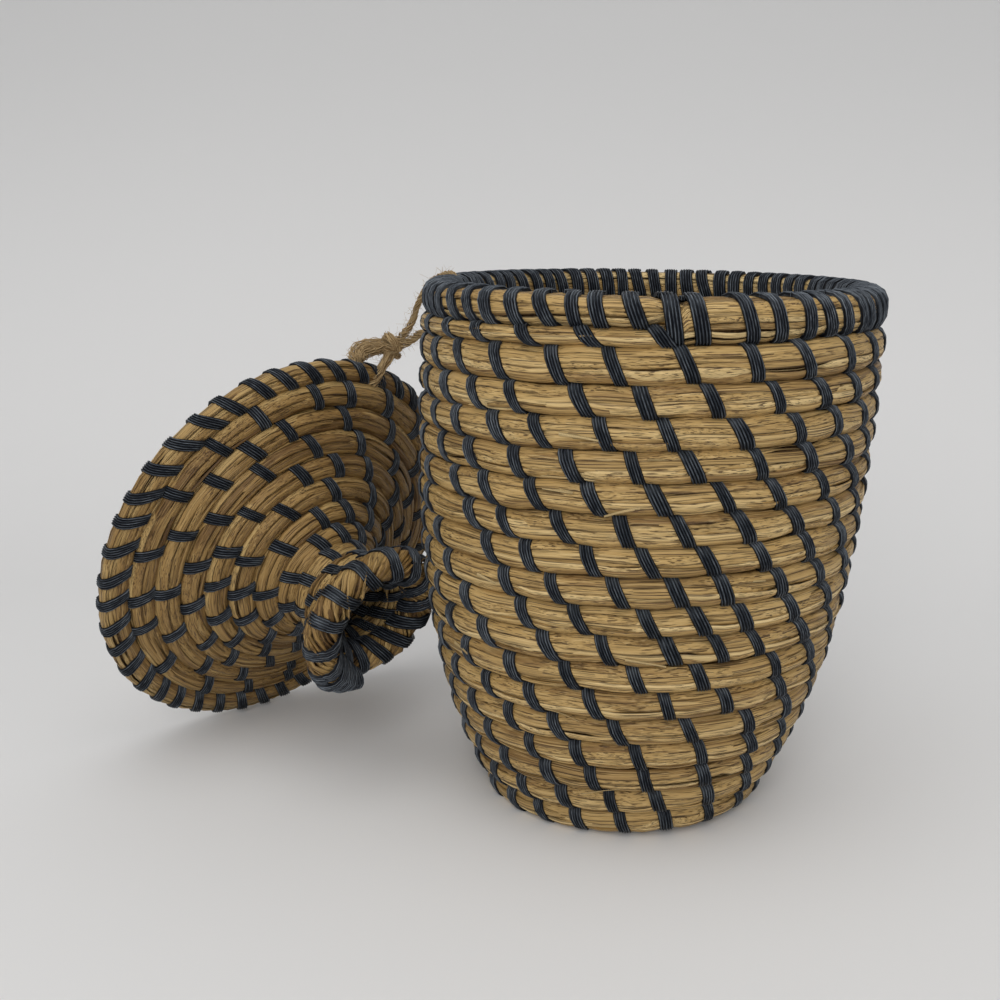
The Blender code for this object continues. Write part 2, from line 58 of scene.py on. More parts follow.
CAMERA_DIP = 0.2304
CAMERA_TURN = -0.1043
CAMERA_ROLL = 0.0095


def added(name, data):
    """A new object of the scene."""
    obj = bpy.data.objects.new(name, data)
    bpy.context.scene.collection.objects.link(obj)
    return obj


lens = bpy.data.cameras.new("camera")
lens.lens = SENSOR * FOCAL_PX / FRAME_PX
lens.sensor_width = SENSOR
lens.clip_start = 0.01
camera = added("camera", lens)
bpy.context.scene.camera = camera
forward = Vector((
    math.sin(CAMERA_TURN) * math.cos(CAMERA_DIP),
    math.cos(CAMERA_TURN) * math.cos(CAMERA_DIP),
    -math.sin(CAMERA_DIP),
))
level = Vector((math.cos(CAMERA_TURN), -math.sin(CAMERA_TURN), 0))
upright = level.cross(forward)
right = math.cos(CAMERA_ROLL) * level + math.sin(CAMERA_ROLL) * upright
upwards = right.cross(forward)
camera.matrix_world = Matrix.Translation(CAMERA_PLACE) @ Matrix(
    (right, upwards, -forward)
).transposed().to_4x4()


# Golden grass
# Dried grass stems, split and flattened, laid side by side in a bundle. Each piece has its
# own tone and fine fibres along it. Its edges are darker, partly browner and partly painted
# shade where the pieces meet, its fine cracks are darkened as painted shade, pale streaks on
# it are painted highlights, and the dry skin shines a little.
class Wire:
    """A node's output, which adds, multiplies and compares as a number or a vector does."""

    def __init__(self, tree, socket):
        self.tree = tree
        self.socket = socket

    def node(self, kind, settings=None, sockets=None, output=0):
        """A new node of this tree: its settings first, then what its sockets hold."""
        made = self.tree.nodes.new(kind)
        for name, value in (settings or {}).items():
            setattr(made, name, value)
        for key, value in (sockets or {}).items():
            if isinstance(value, Wire):
                self.tree.links.new(value.socket, made.inputs[key])
            elif value is not None:
                made.inputs[key].default_value = value
        return Wire(self.tree, made.outputs[output])

    def maths(self, operation, *others):
        """This and the others through a Math node, or through Vector Math for a vector."""
        values = (self, *others)
        kinds = [value.socket.type for value in values if isinstance(value, Wire)]
        if "VECTOR" not in kinds:
            settings = {"operation": operation}
            return self.node("ShaderNodeMath", settings, dict(enumerate(values)))
        if operation == "MULTIPLY":
            arrow, size = (self, others[0]) if self.socket.type == "VECTOR" else (others[0], self)
            sockets = {"Vector": arrow, "Scale": size}
            return self.node("ShaderNodeVectorMath", {"operation": "SCALE"}, sockets)
        return self.node("ShaderNodeVectorMath", {"operation": operation}, dict(enumerate(values)))

    def __add__(self, other):
        return self.maths("ADD", other)

    def __sub__(self, other):
        return self.maths("SUBTRACT", other)

    def __mul__(self, other):
        return self.maths("MULTIPLY", other)

    def __truediv__(self, other):
        return self.maths("DIVIDE", other)

    def __pow__(self, other):
        return self.maths("POWER", other)

    def __neg__(self):
        return self.maths("MULTIPLY", -1)

    def __rsub__(self, other):
        return self.maths("MULTIPLY", -1).maths("ADD", other)

    __radd__ = __add__
    __rmul__ = __mul__

    def between(self, low, high):
        """0 below low, 1 above high, and a smooth step from one to the other."""
        settings = {"interpolation_type": "SMOOTHSTEP"}
        sockets = {"Value": self, "From Min": low, "From Max": high}
        return self.node("ShaderNodeMapRange", settings, sockets)

    def arrow(self, y, z):
        """A vector whose x is this."""
        return self.node("ShaderNodeCombineXYZ", None, {0: self, 1: y, 2: z})

    def noise(self, scale, detail=2, roughness=0.5):
        """Smooth chance values, about 0.5, that this vector reads at its place."""
        sockets = {"Vector": self, "Scale": scale, "Detail": detail, "Roughness": roughness}
        return self.node("ShaderNodeTexNoise", None, sockets)

    def mix(self, under, over):
        """The colour under where this is 0, and over where it is 1."""
        sockets = {0: self, 6: under, 7: over}
        return self.node("ShaderNodeMix", {"data_type": "RGBA"}, sockets, 2)


class Finish:
    """A material with one Principled shader, whose sockets are set by name."""

    def __init__(self, name, **constants):
        self.made = bpy.data.materials.new(name)
        self.made.use_nodes = True
        self.tree = self.made.node_tree
        self.shader = self.tree.nodes["Principled BSDF"]
        for key, value in constants.items():
            self.shader.inputs[key.replace("_", " ")].default_value = value

    def start(self):
        """A wire to begin from: the piece's own coordinates."""
        coordinates = self.tree.nodes.new("ShaderNodeTexCoord")
        return Wire(self.tree, coordinates.outputs["Object"])

    def attribute(self, name):
        """What the piece's mesh carries under this name."""
        empty = Wire(self.tree, None)
        return empty.node("ShaderNodeAttribute", {"attribute_name": name}, None, 2)

    def put(self, key, wire):
        self.tree.links.new(wire.socket, self.shader.inputs[key])

    def bump(self, height, distance, strength=1.0):
        sockets = {"Height": height, "Distance": distance, "Strength": strength}
        self.put("Normal", height.node("ShaderNodeBump", None, sockets))


def grass_finish(name, dark, middle, pale, edge):
    """Each straw's tone runs between three colours. Its fine cracks are darkened as painted
    shade, its edges are darker, partly browner and partly painted shade where straws meet, and
    pale streaks on it are painted highlights.

    Patterns are stretched along the straw, and each straw's tone gives it its own.
    """
    grass = Finish(name, Specular_IOR_Level=0.4)
    tone = grass.attribute("tone")
    across = grass.attribute("across")
    along = grass.attribute("along")
    fibre = (along * 40).arrow(across * 4.5, tone * 40).noise(1.0, 3, 0.65)
    thread = (along * 130).arrow(across * 16, tone * 61).noise(1.0, 2)
    patch = (along * 14).arrow(across * 0.8, tone * 23).noise(1.0, 2)
    mixed = tone * 0.8 + 0.1 + (patch - 0.5) * 0.55 + (fibre - 0.5) * 0.55 + (thread - 0.5) * 0.25
    colour = mixed.between(0.08, 0.5).mix((*dark, 1), (*middle, 1))
    colour = mixed.between(0.45, 0.95).mix(colour, (*pale, 1))
    # Darker straw edges: partly the straws' browner edges, partly painted shade where straws meet
    edge_brown_and_shade = across.maths("ABSOLUTE").between(0.78, 1.0) * 0.7
    colour = edge_brown_and_shade.mix(colour, (*edge, 1))
    # Fine cracks darkened: painted shade in them
    crack_shade = (along * 26).arrow(across * 7, tone * 90).noise(1.0, 2).between(0.425, 0.37)
    # Pale streaks along the straws: painted highlights
    painted_gleam = (along * 17).arrow(across * 6, tone * 71).noise(1.0, 2).between(0.57, 0.66)
    colour = (painted_gleam * 0.4).mix(colour, (*pale, 1))
    colour = (crack_shade * 0.85).mix(colour, (*edge, 1))
    spot = (along * 240).arrow(across * 5, tone * 15).noise(1.0, 1)
    colour = (spot.between(0.74, 0.80) * 0.5).mix(colour, (*edge, 1))
    grass.put("Base Color", colour)
    grass.put("Roughness", 0.48 + (fibre - 0.5) * 0.4)
    grass.bump(fibre * 0.7 + thread * 0.35 - crack_shade * 0.5, 0.0005, 1.0)
    return grass.made


GRASS_DARK = (0.235, 0.130, 0.039)
GRASS_MIDDLE = (0.53, 0.345, 0.125)
GRASS_PALE = (0.80, 0.60, 0.29)
GRASS_EDGE = (0.085, 0.042, 0.016)
wall_grass = grass_finish("wall_grass", GRASS_DARK, GRASS_MIDDLE, GRASS_PALE, GRASS_EDGE)
# The lid's colours are the wall's darkened by about a third: painted shade over the whole lid
LID_DARK = (0.145, 0.075, 0.021)
LID_MIDDLE = (0.35, 0.212, 0.069)
LID_PALE = (0.56, 0.385, 0.155)
lid_grass = grass_finish("lid_grass", LID_DARK, LID_MIDDLE, LID_PALE, GRASS_EDGE)
# Each body's grass: the name of its slot, and its material
GRASSES = {"basket": ("wall_grass", wall_grass), "lid": ("lid_grass", lid_grass)}


# Bundles of grass
# The basket is one long bundle, wound round and round. The pieces run along it side by
# side, dive under each other and come up again, and each stitch draws the bundle in.
STRAW_PITCH = 0.0034
STRAW_WIDTH = 0.0030
STRAW_THICKNESS = 0.0009
PINCH = 0.10
PINCH_WIDTH = 0.0032
SECTION_POWER = 2.8
CORE_SHARE = 0.8
CORE_SIDES = 8
CORE_SHADE_DARK = (0.05, 0.026, 0.01)
CORE_SHADE_PALE = (0.16, 0.09, 0.035)


def new_tree(name, count, sizes):
    """A Geometry Nodes tree whose inputs are its path, its material, a count and sizes."""
    kinds = {"Path": "Geometry", "Material": "Material", count: "Int"}
    kinds.update(dict.fromkeys(sizes, "Float"))
    tree = bpy.data.node_groups.new(name, "GeometryNodeTree")
    for label, kind in kinds.items():
        tree.interface.new_socket(name=label, in_out="INPUT", socket_type=f"NodeSocket{kind}")
    tree.interface.new_socket(name="Mesh", in_out="OUTPUT", socket_type="NodeSocketGeometry")
    entry = tree.nodes.new("NodeGroupInput")
    return {label: Wire(tree, entry.outputs[label]) for label in kinds}


def end_tree(curve, ring, material):
    """Ends a tree: the ring drawn along its curves, made real, smooth and of one material."""
    sockets = {"Curve": curve, "Profile Curve": ring, "Fill Caps": True}
    sockets["Scale"] = read(curve, "size", "FLOAT")
    mesh = curve.node("GeometryNodeCurveToMesh", None, sockets)
    real = mesh.node("GeometryNodeRealizeInstances", None, {"Geometry": mesh})
    smooth = real.node("GeometryNodeSetShadeSmooth", None, {"Geometry": real})
    sockets = {"Geometry": smooth, "Material": material}
    last = smooth.node("GeometryNodeSetMaterial", None, sockets)
    leave = last.tree.nodes.new("NodeGroupOutput")
    last.tree.links.new(last.socket, leave.inputs[0])
    return last.tree


def stored(geometry, name, value):
    settings = {"data_type": "FLOAT", "domain": "POINT"}
    sockets = {"Geometry": geometry, "Name": name, "Value": value}
    return geometry.node("GeometryNodeStoreNamedAttribute", settings, sockets)


def read(wire, name, kind="FLOAT_VECTOR"):
    return wire.node("GeometryNodeInputNamedAttribute", {"data_type": kind}, {"Name": name})


def path_mesh(name, strips):
    """A mesh of open lines, whose points carry what their dressing needs."""
    points, edges, values = [], [], {}
    for strip in strips:
        first = len(points)
        points += [tuple(point) for point in strip["at"]]
        edges += [(index, index + 1) for index in range(first, len(points) - 1)]
        for key, value in strip.items():
            if key != "at":
                values.setdefault(key, []).append(np.array(value, float))
    mesh = bpy.data.meshes.new(name)
    mesh.from_pydata(points, edges, [])
    for key, value in values.items():
        value = np.concatenate(value)
        kind = "FLOAT_VECTOR" if value.ndim == 2 else "FLOAT"
        layer = mesh.attributes.new(key, kind, "POINT")
        layer.data.foreach_set("vector" if value.ndim == 2 else "value", value.ravel())
    return mesh


def plain_mesh(name, strips, tree, inputs):
    """Runs a tree over these paths and keeps what it makes as a plain mesh."""
    obj = added(name, path_mesh(name, strips))
    modifier = obj.modifiers.new(name, "NODES")
    modifier.node_group = tree
    for item in tree.interface.items_tree:
        if item.in_out == "INPUT" and item.name in inputs:
            modifier[item.identifier] = inputs[item.name]
    graph = bpy.context.evaluated_depsgraph_get()
    plain = bpy.data.meshes.new_from_object(obj.evaluated_get(graph))
    obj.modifiers.clear()
    obj.data = plain
    plain.name = name
    return obj


def joined(name, objects):
    """One object of all of these."""
    first, *others = objects
    bpy.context.view_layer.objects.active = first
    with bpy.context.temp_override(
        active_object=first, selected_objects=objects, selected_editable_objects=objects
    ):
        bpy.ops.object.join()
    first.name = name
    return first


def finished(obj, body, replaces=()):
    """Fixes an object to its body."""
    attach(obj, body)
    if replaces:
        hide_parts(*replaces)
    return obj


def strands(wires, amount, salt):
    """Copies of a tree's path, the number and the length along it of each, and two makers.

    The first draws one value for each strand, and the second one that drifts along it. The
    salt gives each tree its own values.
    """
    step_by, spread, detail, seed = salt
    path = wires["Path"]
    curve = path.node("GeometryNodeMeshToCurve", None, {"Mesh": path})
    copies = curve.node(
        "GeometryNodeDuplicateElements",
        {"domain": "SPLINE"},
        {"Geometry": curve, "Amount": wires[amount]},
    )
    number = Wire(copies.tree, copies.socket.node.outputs["Duplicate Index"]) + 0.0
    length = number.node("GeometryNodeSplineParameter", None, None, 1)

    def chance(step):
        sockets = {"ID": number * step_by + step, "Seed": seed}
        return number.node("FunctionNodeRandomValue", {"data_type": "FLOAT"}, sockets, 1)

    def drift(per_metre, row):
        place = (length * per_metre).arrow(number * spread + row, wires["Seed"])
        return place.noise(1.0, detail)

    return copies, number, length, chance, drift


def half_sizes(wire):
    """The path's half width and half height, each as a wire of its own."""
    half = read(wire, "half")
    parts = half.node("ShaderNodeSeparateXYZ", None, {0: half})
    return parts, Wire(parts.tree, parts.socket.node.outputs[1])


def bundle_tree():
    """Straws along a path: pieces side by side round its section, drawn in at stitches."""
    sizes = ("Straw Width", "Straw Thickness", "Slant", "Wander", "Twist", "Seed")
    wires = new_tree("grass_bundle", "Straws", sizes)
    copies, number, length, chance, drift = strands(wires, "Straws", (17, 3.71, 1, 5))
    # Each straw has a place round the section, from which it wanders, and where it isn't
    # showing it is thin and lies deeper, under the others
    angle = (number + (chance(1) - 0.5) * 0.5) * 2 * math.pi / wires["Straws"]
    angle = angle + (drift(24, 0.3) - 0.5) * wires["Wander"] + length * wires["Twist"]
    showing = drift(19, 17.7).between(0.27, 0.36) * 0.9 + 0.1
    depth = 0.82 + showing * 0.18 - drift(31, 9.1).between(0.48, 0.76) * 0.20 - chance(2) * 0.05
    width = (0.62 + chance(3) * 0.75) * showing
    side = angle.maths("COSINE")
    rise = angle.maths("SINE")
    # The section is a rounded square, drawn in where a stitch goes round it
    squared = side.maths("ABSOLUTE") ** SECTION_POWER + rise.maths("ABSOLUTE") ** SECTION_POWER
    reach = squared ** (-1 / SECTION_POWER)
    away = (read(number, "near", "FLOAT") + rise * wires["Slant"] / 2) / PINCH_WIDTH
    drawn = 1 - (-(away * away)).maths("EXPONENT") * PINCH
    reach = reach * depth * drawn
    half_width, half_height = half_sizes(number)
    out, up = read(number, "out"), read(number, "rise")
    place = out * (side * half_width * reach) + up * (rise * half_height * reach)
    normal = out * (side * half_height) + up * (rise * half_width)
    moved = copies.node("GeometryNodeSetPosition", None, {"Geometry": copies, "Offset": place})
    laid = moved.node(
        "GeometryNodeSetCurveNormal", {"mode": "FREE"}, {"Curve": moved, "Normal": normal}
    )
    tone = chance(4) * 0.62 + drift(9, 31.3).between(0.3, 0.7) * 0.38
    laid = stored(laid, "tone", tone)
    laid = stored(laid, "along", length + number * 1.37)
    laid = stored(laid, "size", width)
    ring = laid.node("GeometryNodeCurvePrimitiveCircle", None, {"Resolution": 6, "Radius": 1.0})
    spot = ring.node("GeometryNodeInputPosition")
    spot = spot.node("ShaderNodeSeparateXYZ", None, {0: spot})
    ring = stored(ring, "across", spot)
    tall = Wire(spot.tree, spot.socket.node.outputs[1])
    shape = (tall * wires["Straw Thickness"] / 2).arrow(-spot * wires["Straw Width"] / 2, 0.0)
    ring = ring.node("GeometryNodeSetPosition", None, {"Geometry": ring, "Position": shape})
    return end_tree(laid, ring, wires["Material"])


grass_bundle = bundle_tree()


def unit(vectors):
    return vectors / np.linalg.norm(vectors, axis=1, keepdims=True)


def smooth(value, low, high):
    share = np.clip((np.asarray(value, float) - low) / (high - low), 0, 1)
    return share * share * (3 - 2 * share)


def toward(value, goal, share):
    """This share of the way from a value to its goal."""
    return value + (goal - value) * share


def wobble(turns, seed):
    """A slow, even wavering between about -1 and 1 along a coil."""
    chance = np.random.default_rng(seed)
    waves = [np.sin(turns * chance.uniform(3, 23) + chance.uniform(0, 6.3)) for _ in range(5)]
    return sum(waves) / 5


def around_axis(start, turns):
    """The turns as an array, and which way each lies from the axis."""
    turns = np.atleast_1d(np.asarray(turns, float))
    azimuth = start + 2 * math.pi * turns
    return turns, np.stack([np.cos(azimuth), np.sin(azimuth), 0 * azimuth], 1)


def stops_between(turns, stitches, metres_per_turn):
    """Path points from one turn to another, with one on every stitch and even steps between."""
    begin, end = turns
    marks = [begin, *(stitch for stitch in sorted(stitches) if begin < stitch < end), end]
    found = [begin]
    for near, far in zip(marks, marks[1:]):
        reach = (far - near) * metres_per_turn((near + far) / 2)
        steps = max(1, round(reach / STRAW_PITCH))
        found += [near + (far - near) * (step + 1) / steps for step in range(steps)]
    return np.array(found)


def from_stitch(turns, stitches, metres_per_turn):
    """Each point's distance along the coil to the nearest stitch."""
    stitches = np.sort(np.array(stitches))
    after = np.clip(np.searchsorted(stitches, turns), 1, len(stitches) - 1)
    near, far = stitches[after - 1], stitches[after]
    nearest = np.where(turns - near < far - turns, near, far)
    per_turn = np.array([metres_per_turn(turn) for turn in turns])
    return (turns - nearest) * per_turn


def coil_strip(row, turns, stitches, metres_per_turn):
    """One length of a coil, ready for its bundle of grass."""
    turns = stops_between(turns, stitches, metres_per_turn)
    at, out, rise, half = row(turns)
    near = from_stitch(turns, stitches, metres_per_turn)
    return {"at": at, "out": out, "rise": rise, "half": np.c_[half, 0 * turns], "near": near}


def core_object(name, strip, body):
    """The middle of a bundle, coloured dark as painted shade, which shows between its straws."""
    at, half = np.array(strip["at"]), np.array(strip["half"]) * CORE_SHARE
    rings = []
    for side in range(CORE_SIDES):
        angle = 2 * math.pi * side / CORE_SIDES
        out = strip["out"] * (math.cos(angle) * half[:, :1])
        rings.append(at + out + strip["rise"] * (math.sin(angle) * half[:, 1:2]))
    points = np.stack(rings, 1).reshape(-1, 3)
    faces = []
    for index in range(len(at) - 1):
        for side in range(CORE_SIDES):
            after = (side + 1) % CORE_SIDES
            low, high = index * CORE_SIDES, (index + 1) * CORE_SIDES
            faces.append((low + side, low + after, high + after, high + side))
    faces.append(tuple(range(CORE_SIDES))[::-1])
    faces.append(tuple(range(len(points) - CORE_SIDES, len(points))))
    mesh = bpy.data.meshes.new(name)
    mesh.from_pydata([tuple(point) for point in points], [], faces)
    mesh.materials.append(core_shade_finish.made)
    mesh.shade_smooth()
    return finished(added(name, mesh), body)


# The core's colours are painted shade: darker than the grass, as a bundle's inside looks in shadow
core_shade_finish = Finish("core_shade_grass", Roughness=0.9)
core_spots = core_shade_finish.start().noise(900, 3, 0.6).between(0.35, 0.65)
core_shade_finish.put("Base Color", core_spots.mix((*CORE_SHADE_DARK, 1), (*CORE_SHADE_PALE, 1)))


def bundle(name, strip, body, slant, seed, replaces=(), straws=16, wander=0.6, twist=0.0):
    """Straws round a dark core, along one length of a coil."""
    slot, grass = GRASSES[body]
    inputs = {
        "Straws": straws,
        "Straw Width": STRAW_WIDTH,
        "Straw Thickness": STRAW_THICKNESS,
        "Slant": slant,
        "Wander": wander,
        "Twist": twist,
        "Seed": seed,
        "Material": grass,
    }
    core_object(f"{name}_core", strip, body)
    return finished(plain_mesh(name, [strip], grass_bundle, inputs), body, replaces)


# Ribbon
# A flat strip of dark blue-grey, raffia-like stuff, about 4 mm wide, with fine ridges along
# it. Its grooves are painted darker, as painted shade. The ridges carry pale marks, partly
# wear and partly painted highlight, and a painted highlight lies where the strip bends over
# a row's edge.
RIBBON_WIDTH = 0.0042
STITCH_STEPS = 16
RIBBON_THICKNESS = 0.0007
RIBBON_RIDGE = 0.00048
RIBBON_RIDGES = 5
RIBBON_LIFT = 0.0008
# The painted highlight where the strip bends over a row's edge: its angle round the row, and how
# far it spreads
BEND_HIGHLIGHT_ANGLE = math.radians(58)
BEND_HIGHLIGHT_REACH = math.radians(20)
# The grooves' colour is a painted shade, the crests' colour is the ribbon's own, and the pale
# colour serves both wear and painted highlight
RIBBON_GROOVE_SHADE = (0.004, 0.005, 0.008)
RIBBON_CREST = (0.018, 0.0235, 0.034)
RIBBON_PALE = (0.26, 0.295, 0.335)

ribbon_finish = Finish("blue_grey_ribbon", Specular_IOR_Level=0.22)
ribbon_across = ribbon_finish.attribute("across")
ribbon_along = ribbon_finish.attribute("along")
ribbon_tone = ribbon_finish.attribute("tone")
ridge = 0.5 + (ribbon_across * math.pi * RIBBON_RIDGES).maths("COSINE") * 0.5
thread = (ribbon_along * 500).arrow(ribbon_across * 16, ribbon_tone * 30).noise(1.0, 2)
scuff_and_glint = (ribbon_along * 130).arrow(ribbon_across * 2.2, ribbon_tone * 17).noise(1.0, 3, 0.7)
# Pale marks: partly wear, and partly painted highlight on the crests and where the strip bends over
# a row's edge
wear_and_highlight = 0.03 + scuff_and_glint.between(0.42, 0.68) * 0.6 + thread.between(0.46, 0.7) * 0.4
wear_and_highlight = wear_and_highlight * ridge * ridge + ribbon_finish.attribute("bend") * scuff_and_glint.between(0.3, 0.6) * 0.25
# Grooves painted darker than the crests: painted shade
ribbon_colour = ridge.between(0.25, 0.9).mix((*RIBBON_GROOVE_SHADE, 1), (*RIBBON_CREST, 1))
ribbon_finish.put("Base Color", wear_and_highlight.mix(ribbon_colour, (*RIBBON_PALE, 1)))
ribbon_finish.put("Roughness", 0.36 + thread * 0.25)
ribbon_finish.bump(ridge + thread * 0.5 + scuff_and_glint * 0.3, 0.0008, 1.0)


def ribbon_tree():
    """A ridged strip along each path, flat on what it lies on."""
    wires = new_tree("ribbon_strip", "Ridges", ("Width", "Thickness", "Ridge"))
    path = wires["Path"]
    curve = path.node("GeometryNodeMeshToCurve", None, {"Mesh": path})
    sockets = {"Curve": curve, "Normal": read(curve, "out")}
    laid = curve.node("GeometryNodeSetCurveNormal", {"mode": "FREE"}, sockets)
    last = wires["Ridges"] * 2.0
    ring = laid.node(
        "GeometryNodeCurvePrimitiveCircle", None, {"Resolution": last + 3.0, "Radius": 1.0}
    )
    index = ring.node("GeometryNodeInputIndex") + 0.0
    across = 1 - index / last * 2
    under = index.maths("GREATER_THAN", last + 0.5)
    across = across * (1 - under) + under * (index - last - 1.5) * 2 * 0.85
    crest = index.maths("MODULO", 2.0) * wires["Ridge"]
    crown = (1 - across * across) * wires["Thickness"] * 0.35
    tall = (1 - under) * (crest + crown) - under * wires["Thickness"]
    ring = stored(ring, "across", across)
    shape = tall.arrow(-across * wires["Width"] / 2, 0.0)
    ring = ring.node("GeometryNodeSetPosition", None, {"Geometry": ring, "Position": shape})
    return end_tree(laid, ring, wires["Material"])


ribbon_strip = ribbon_tree()
RIBBON_INPUTS = {
    "Width": RIBBON_WIDTH,
    "Thickness": RIBBON_THICKNESS,
    "Ridge": RIBBON_RIDGE,
    "Ridges": RIBBON_RIDGES,
    "Material": ribbon_finish.made,
}


def section_reach(side, up):
    """How far the rounded square of a coil's section reaches, for half sizes of 1."""
    return (np.abs(side) ** SECTION_POWER + np.abs(up) ** SECTION_POWER) ** (-1 / SECTION_POWER)


# One run of chance for all the stitches, in the order in which they are made
chance = np.random.default_rng(11)


def sewn(name, strips, body, replaces=()):
    """All the ribbon of one piece."""
    made = plain_mesh(name, strips, ribbon_strip, RIBBON_INPUTS)
    return finished(made, body, replaces)


def stitch_strip(row, turn, slant, onward, size=1.0, lift=RIBBON_LIFT):
    """One stitch right round a row: it leans by slant over the outer side, and on the inner
    side it comes up again, onward from where it started."""
    angles = np.radians(np.linspace(90, -270, STITCH_STEPS + 1))
    outer_lean = -np.sin(angles) / 2 * slant
    inner_lean = slant / 2 + (onward - slant) * (1 + np.sin(angles)) / 2
    lean = np.where(angles > -math.pi / 2, outer_lean, inner_lean)
    at, out, rise, half = row(turn + lean)
    side, up = np.cos(angles)[:, None], np.sin(angles)[:, None]
    reach = section_reach(side, up) * (1 - PINCH * smooth(side, -0.7, 0.2))
    width, height = half[:, :1], half[:, 1:2]
    normal = unit(out * side * height + rise * up * width)
    place = at + out * side * width * reach + rise * up * height * reach + normal * lift
    spread = np.concatenate([[0], np.cumsum(np.linalg.norm(np.diff(place, axis=0), axis=1))])
    tone = chance.uniform(0, 1)
    return {
        "at": place,
        "out": normal,
        "size": np.full(len(place), size),
        "tone": np.full(len(place), tone),
        "along": spread + tone,
        # A painted highlight where the strip bends over the row's upper outer edge
        "bend": np.exp(-((angles - BEND_HIGHLIGHT_ANGLE) / BEND_HIGHLIGHT_REACH) ** 2),
    }


# Basket wall
# One bundle winds up from the base in 17 rows to the rim, rising to the right. Each row is
# sewn to the one below with slanting stitches, which line up in steep diagonal chains.
COURSE_PITCH = 0.00942
WALL_TURNS = 17 + 5 / 24
COIL_START = math.radians(198)
WALL_START_HEIGHT = 0.00469
BASKET_HEIGHT = 0.17717
FOOT_RADIUS = 0.0454
RIM_RADIUS = 0.0756
WALL_CURVE = 3.6
MOUTH_SHIFT = 0.0055
ROW_HALF_WIDTH = 0.0050
RIM_JOIN = 0.016
RIM_LIFT = 0.0010
RIM_DIP = 0.0034
RIM_INSET = 0.0007
RIM_SQUEEZE = 0.0028
RIM_END_THINNING = 0.7
RIM_WIDER = 0.0002
ROW_PRESS = 0.0017
ROW_SAG = 0.0006
ROW_GAP = 0.0001
ROW_WIDTH_WAVER = 0.0003
ROW_REACH_WAVER = 0.0004
SLOPE_STEP = 0.002


def outer_radius(height):
    left = np.clip(1 - height / BASKET_HEIGHT, 0, None)
    return RIM_RADIUS - (RIM_RADIUS - FOOT_RADIUS) * left**WALL_CURVE


def course_edge(turns):
    """The height of the coil's lower edge, which is the upper edge of the row below.

    The last row is pressed thin where the rim's end comes to lie on it.
    """
    after = turns - WALL_TURNS
    pressed = smooth(after, -0.35, -0.12) * (1 - smooth(after, 0.1, 0.4)) * ROW_PRESS
    pressed = pressed - smooth(after, 0.4, 0.8) * RIM_SQUEEZE
    waver = wobble(turns * 6, 3) * ROW_SAG * smooth(turns, 0, 2) * (1 - smooth(after, 0.8, 1))
    return WALL_START_HEIGHT + COURSE_PITCH * (turns - 0.5) + pressed + waver


def wall_row(turns, wrapped=False):
    """The coil's middle, its two directions across and its half sizes, base to rim.

    Wrapped, it is the whole rim that a wrap goes round, also where its two ends lie together.
    """
    turns, around = around_axis(COIL_START, turns)
    after = turns - WALL_TURNS
    join = smooth(after, 0, RIM_JOIN)
    taper = smooth(after, 1 - RIM_JOIN, 1 + RIM_JOIN)
    if wrapped:
        join, taper = np.ones_like(after), 0 * after
    low, high = course_edge(turns), course_edge(turns + 1)
    high = toward(high, BASKET_HEIGHT, join) - RIM_DIP * taper
    low = low + (high - low) * taper * RIM_END_THINNING
    height = (low + high) / 2
    half_height = (high - low) / 2 - ROW_GAP
    half_width = ROW_HALF_WIDTH + wobble(turns * 2 * math.pi, 4) * ROW_WIDTH_WAVER
    half_width = half_width * (1 - RIM_END_THINNING * taper) + RIM_WIDER * join
    waver = wobble(turns * 2 * math.pi, 5) * ROW_REACH_WAVER
    reach = outer_radius(height) - half_width + waver
    reach = reach - RIM_DIP * taper - RIM_INSET * smooth(after, -0.03, 0)
    centre = around * reach[:, None]
    centre[:, 0] += MOUTH_SHIFT * height / BASKET_HEIGHT
    centre[:, 2] = height
    slope = outer_radius(height + SLOPE_STEP) - outer_radius(height - SLOPE_STEP)
    slope = slope / (2 * SLOPE_STEP)
    rise = unit(around * slope[:, None] + np.array([0, 0, 1]))
    out = unit(around - slope[:, None] * np.array([0, 0, 1]))
    return centre, out, rise, np.stack([half_width, half_height], 1)


def wall_metres(turn):
    return 2 * math.pi * float(outer_radius(WALL_START_HEIGHT + COURSE_PITCH * turn))


# Where the chains of stitches stand on these rows, which are counted down from the rim's thin
# end: the first of the rows that a chain is seen on, then its degrees round from the front
CHAIN_ROWS = (1, 4, 8, 12, 15, 19)
FRONT_CHAINS = (
    (2, -79, -55.9, -33.3, -15),
    (2, -66.5, -39.2, -18.3, 2),
    (1, -68, -43.3, -20.9, -1.1, 19),
    (0, -74.0, -55.2, -31.9, -5.6, 18.3, 37),
    (0, -61.0, -42.4, -17.8, 10.6, 36.1, 54),
    (0, -49.0, -30.3, -3.3, 22.2),
    (0, -34.0, -15.0, 10.6, 33.3, 52.8, 70),
    (0, -19.4, -0.6, 24.4, 48.3, 69, 87),
    (0, -5.0, 14.7, 38.9, 62, 85),
    (0, 11.0, 30.0, 52.8, 76),
    (0, 25.0, 43.7, 66, 90),
    (0, 39.0, 56.7, 80),
    (0, 53.0, 70.6, 95),
    (0, 67.0, 85.0),
    (3, -72, -48.9, -31),
    (3, -87, -65, -47),
    (4, -81, -63),
)


def row_spacing(row):
    """Degrees between stitches, which grow towards the narrow foot."""
    return 14.3 + max(0, row - 11) * 0.75


def all_places(seen, spacing):
    """The stitches of a turn, in degrees: those seen, and even ones through the hidden rest."""
    gap = seen[0] + 360 - seen[-1]
    count = round(gap / spacing)
    return [*seen, *(seen[-1] + gap * step / count for step in range(1, count))]


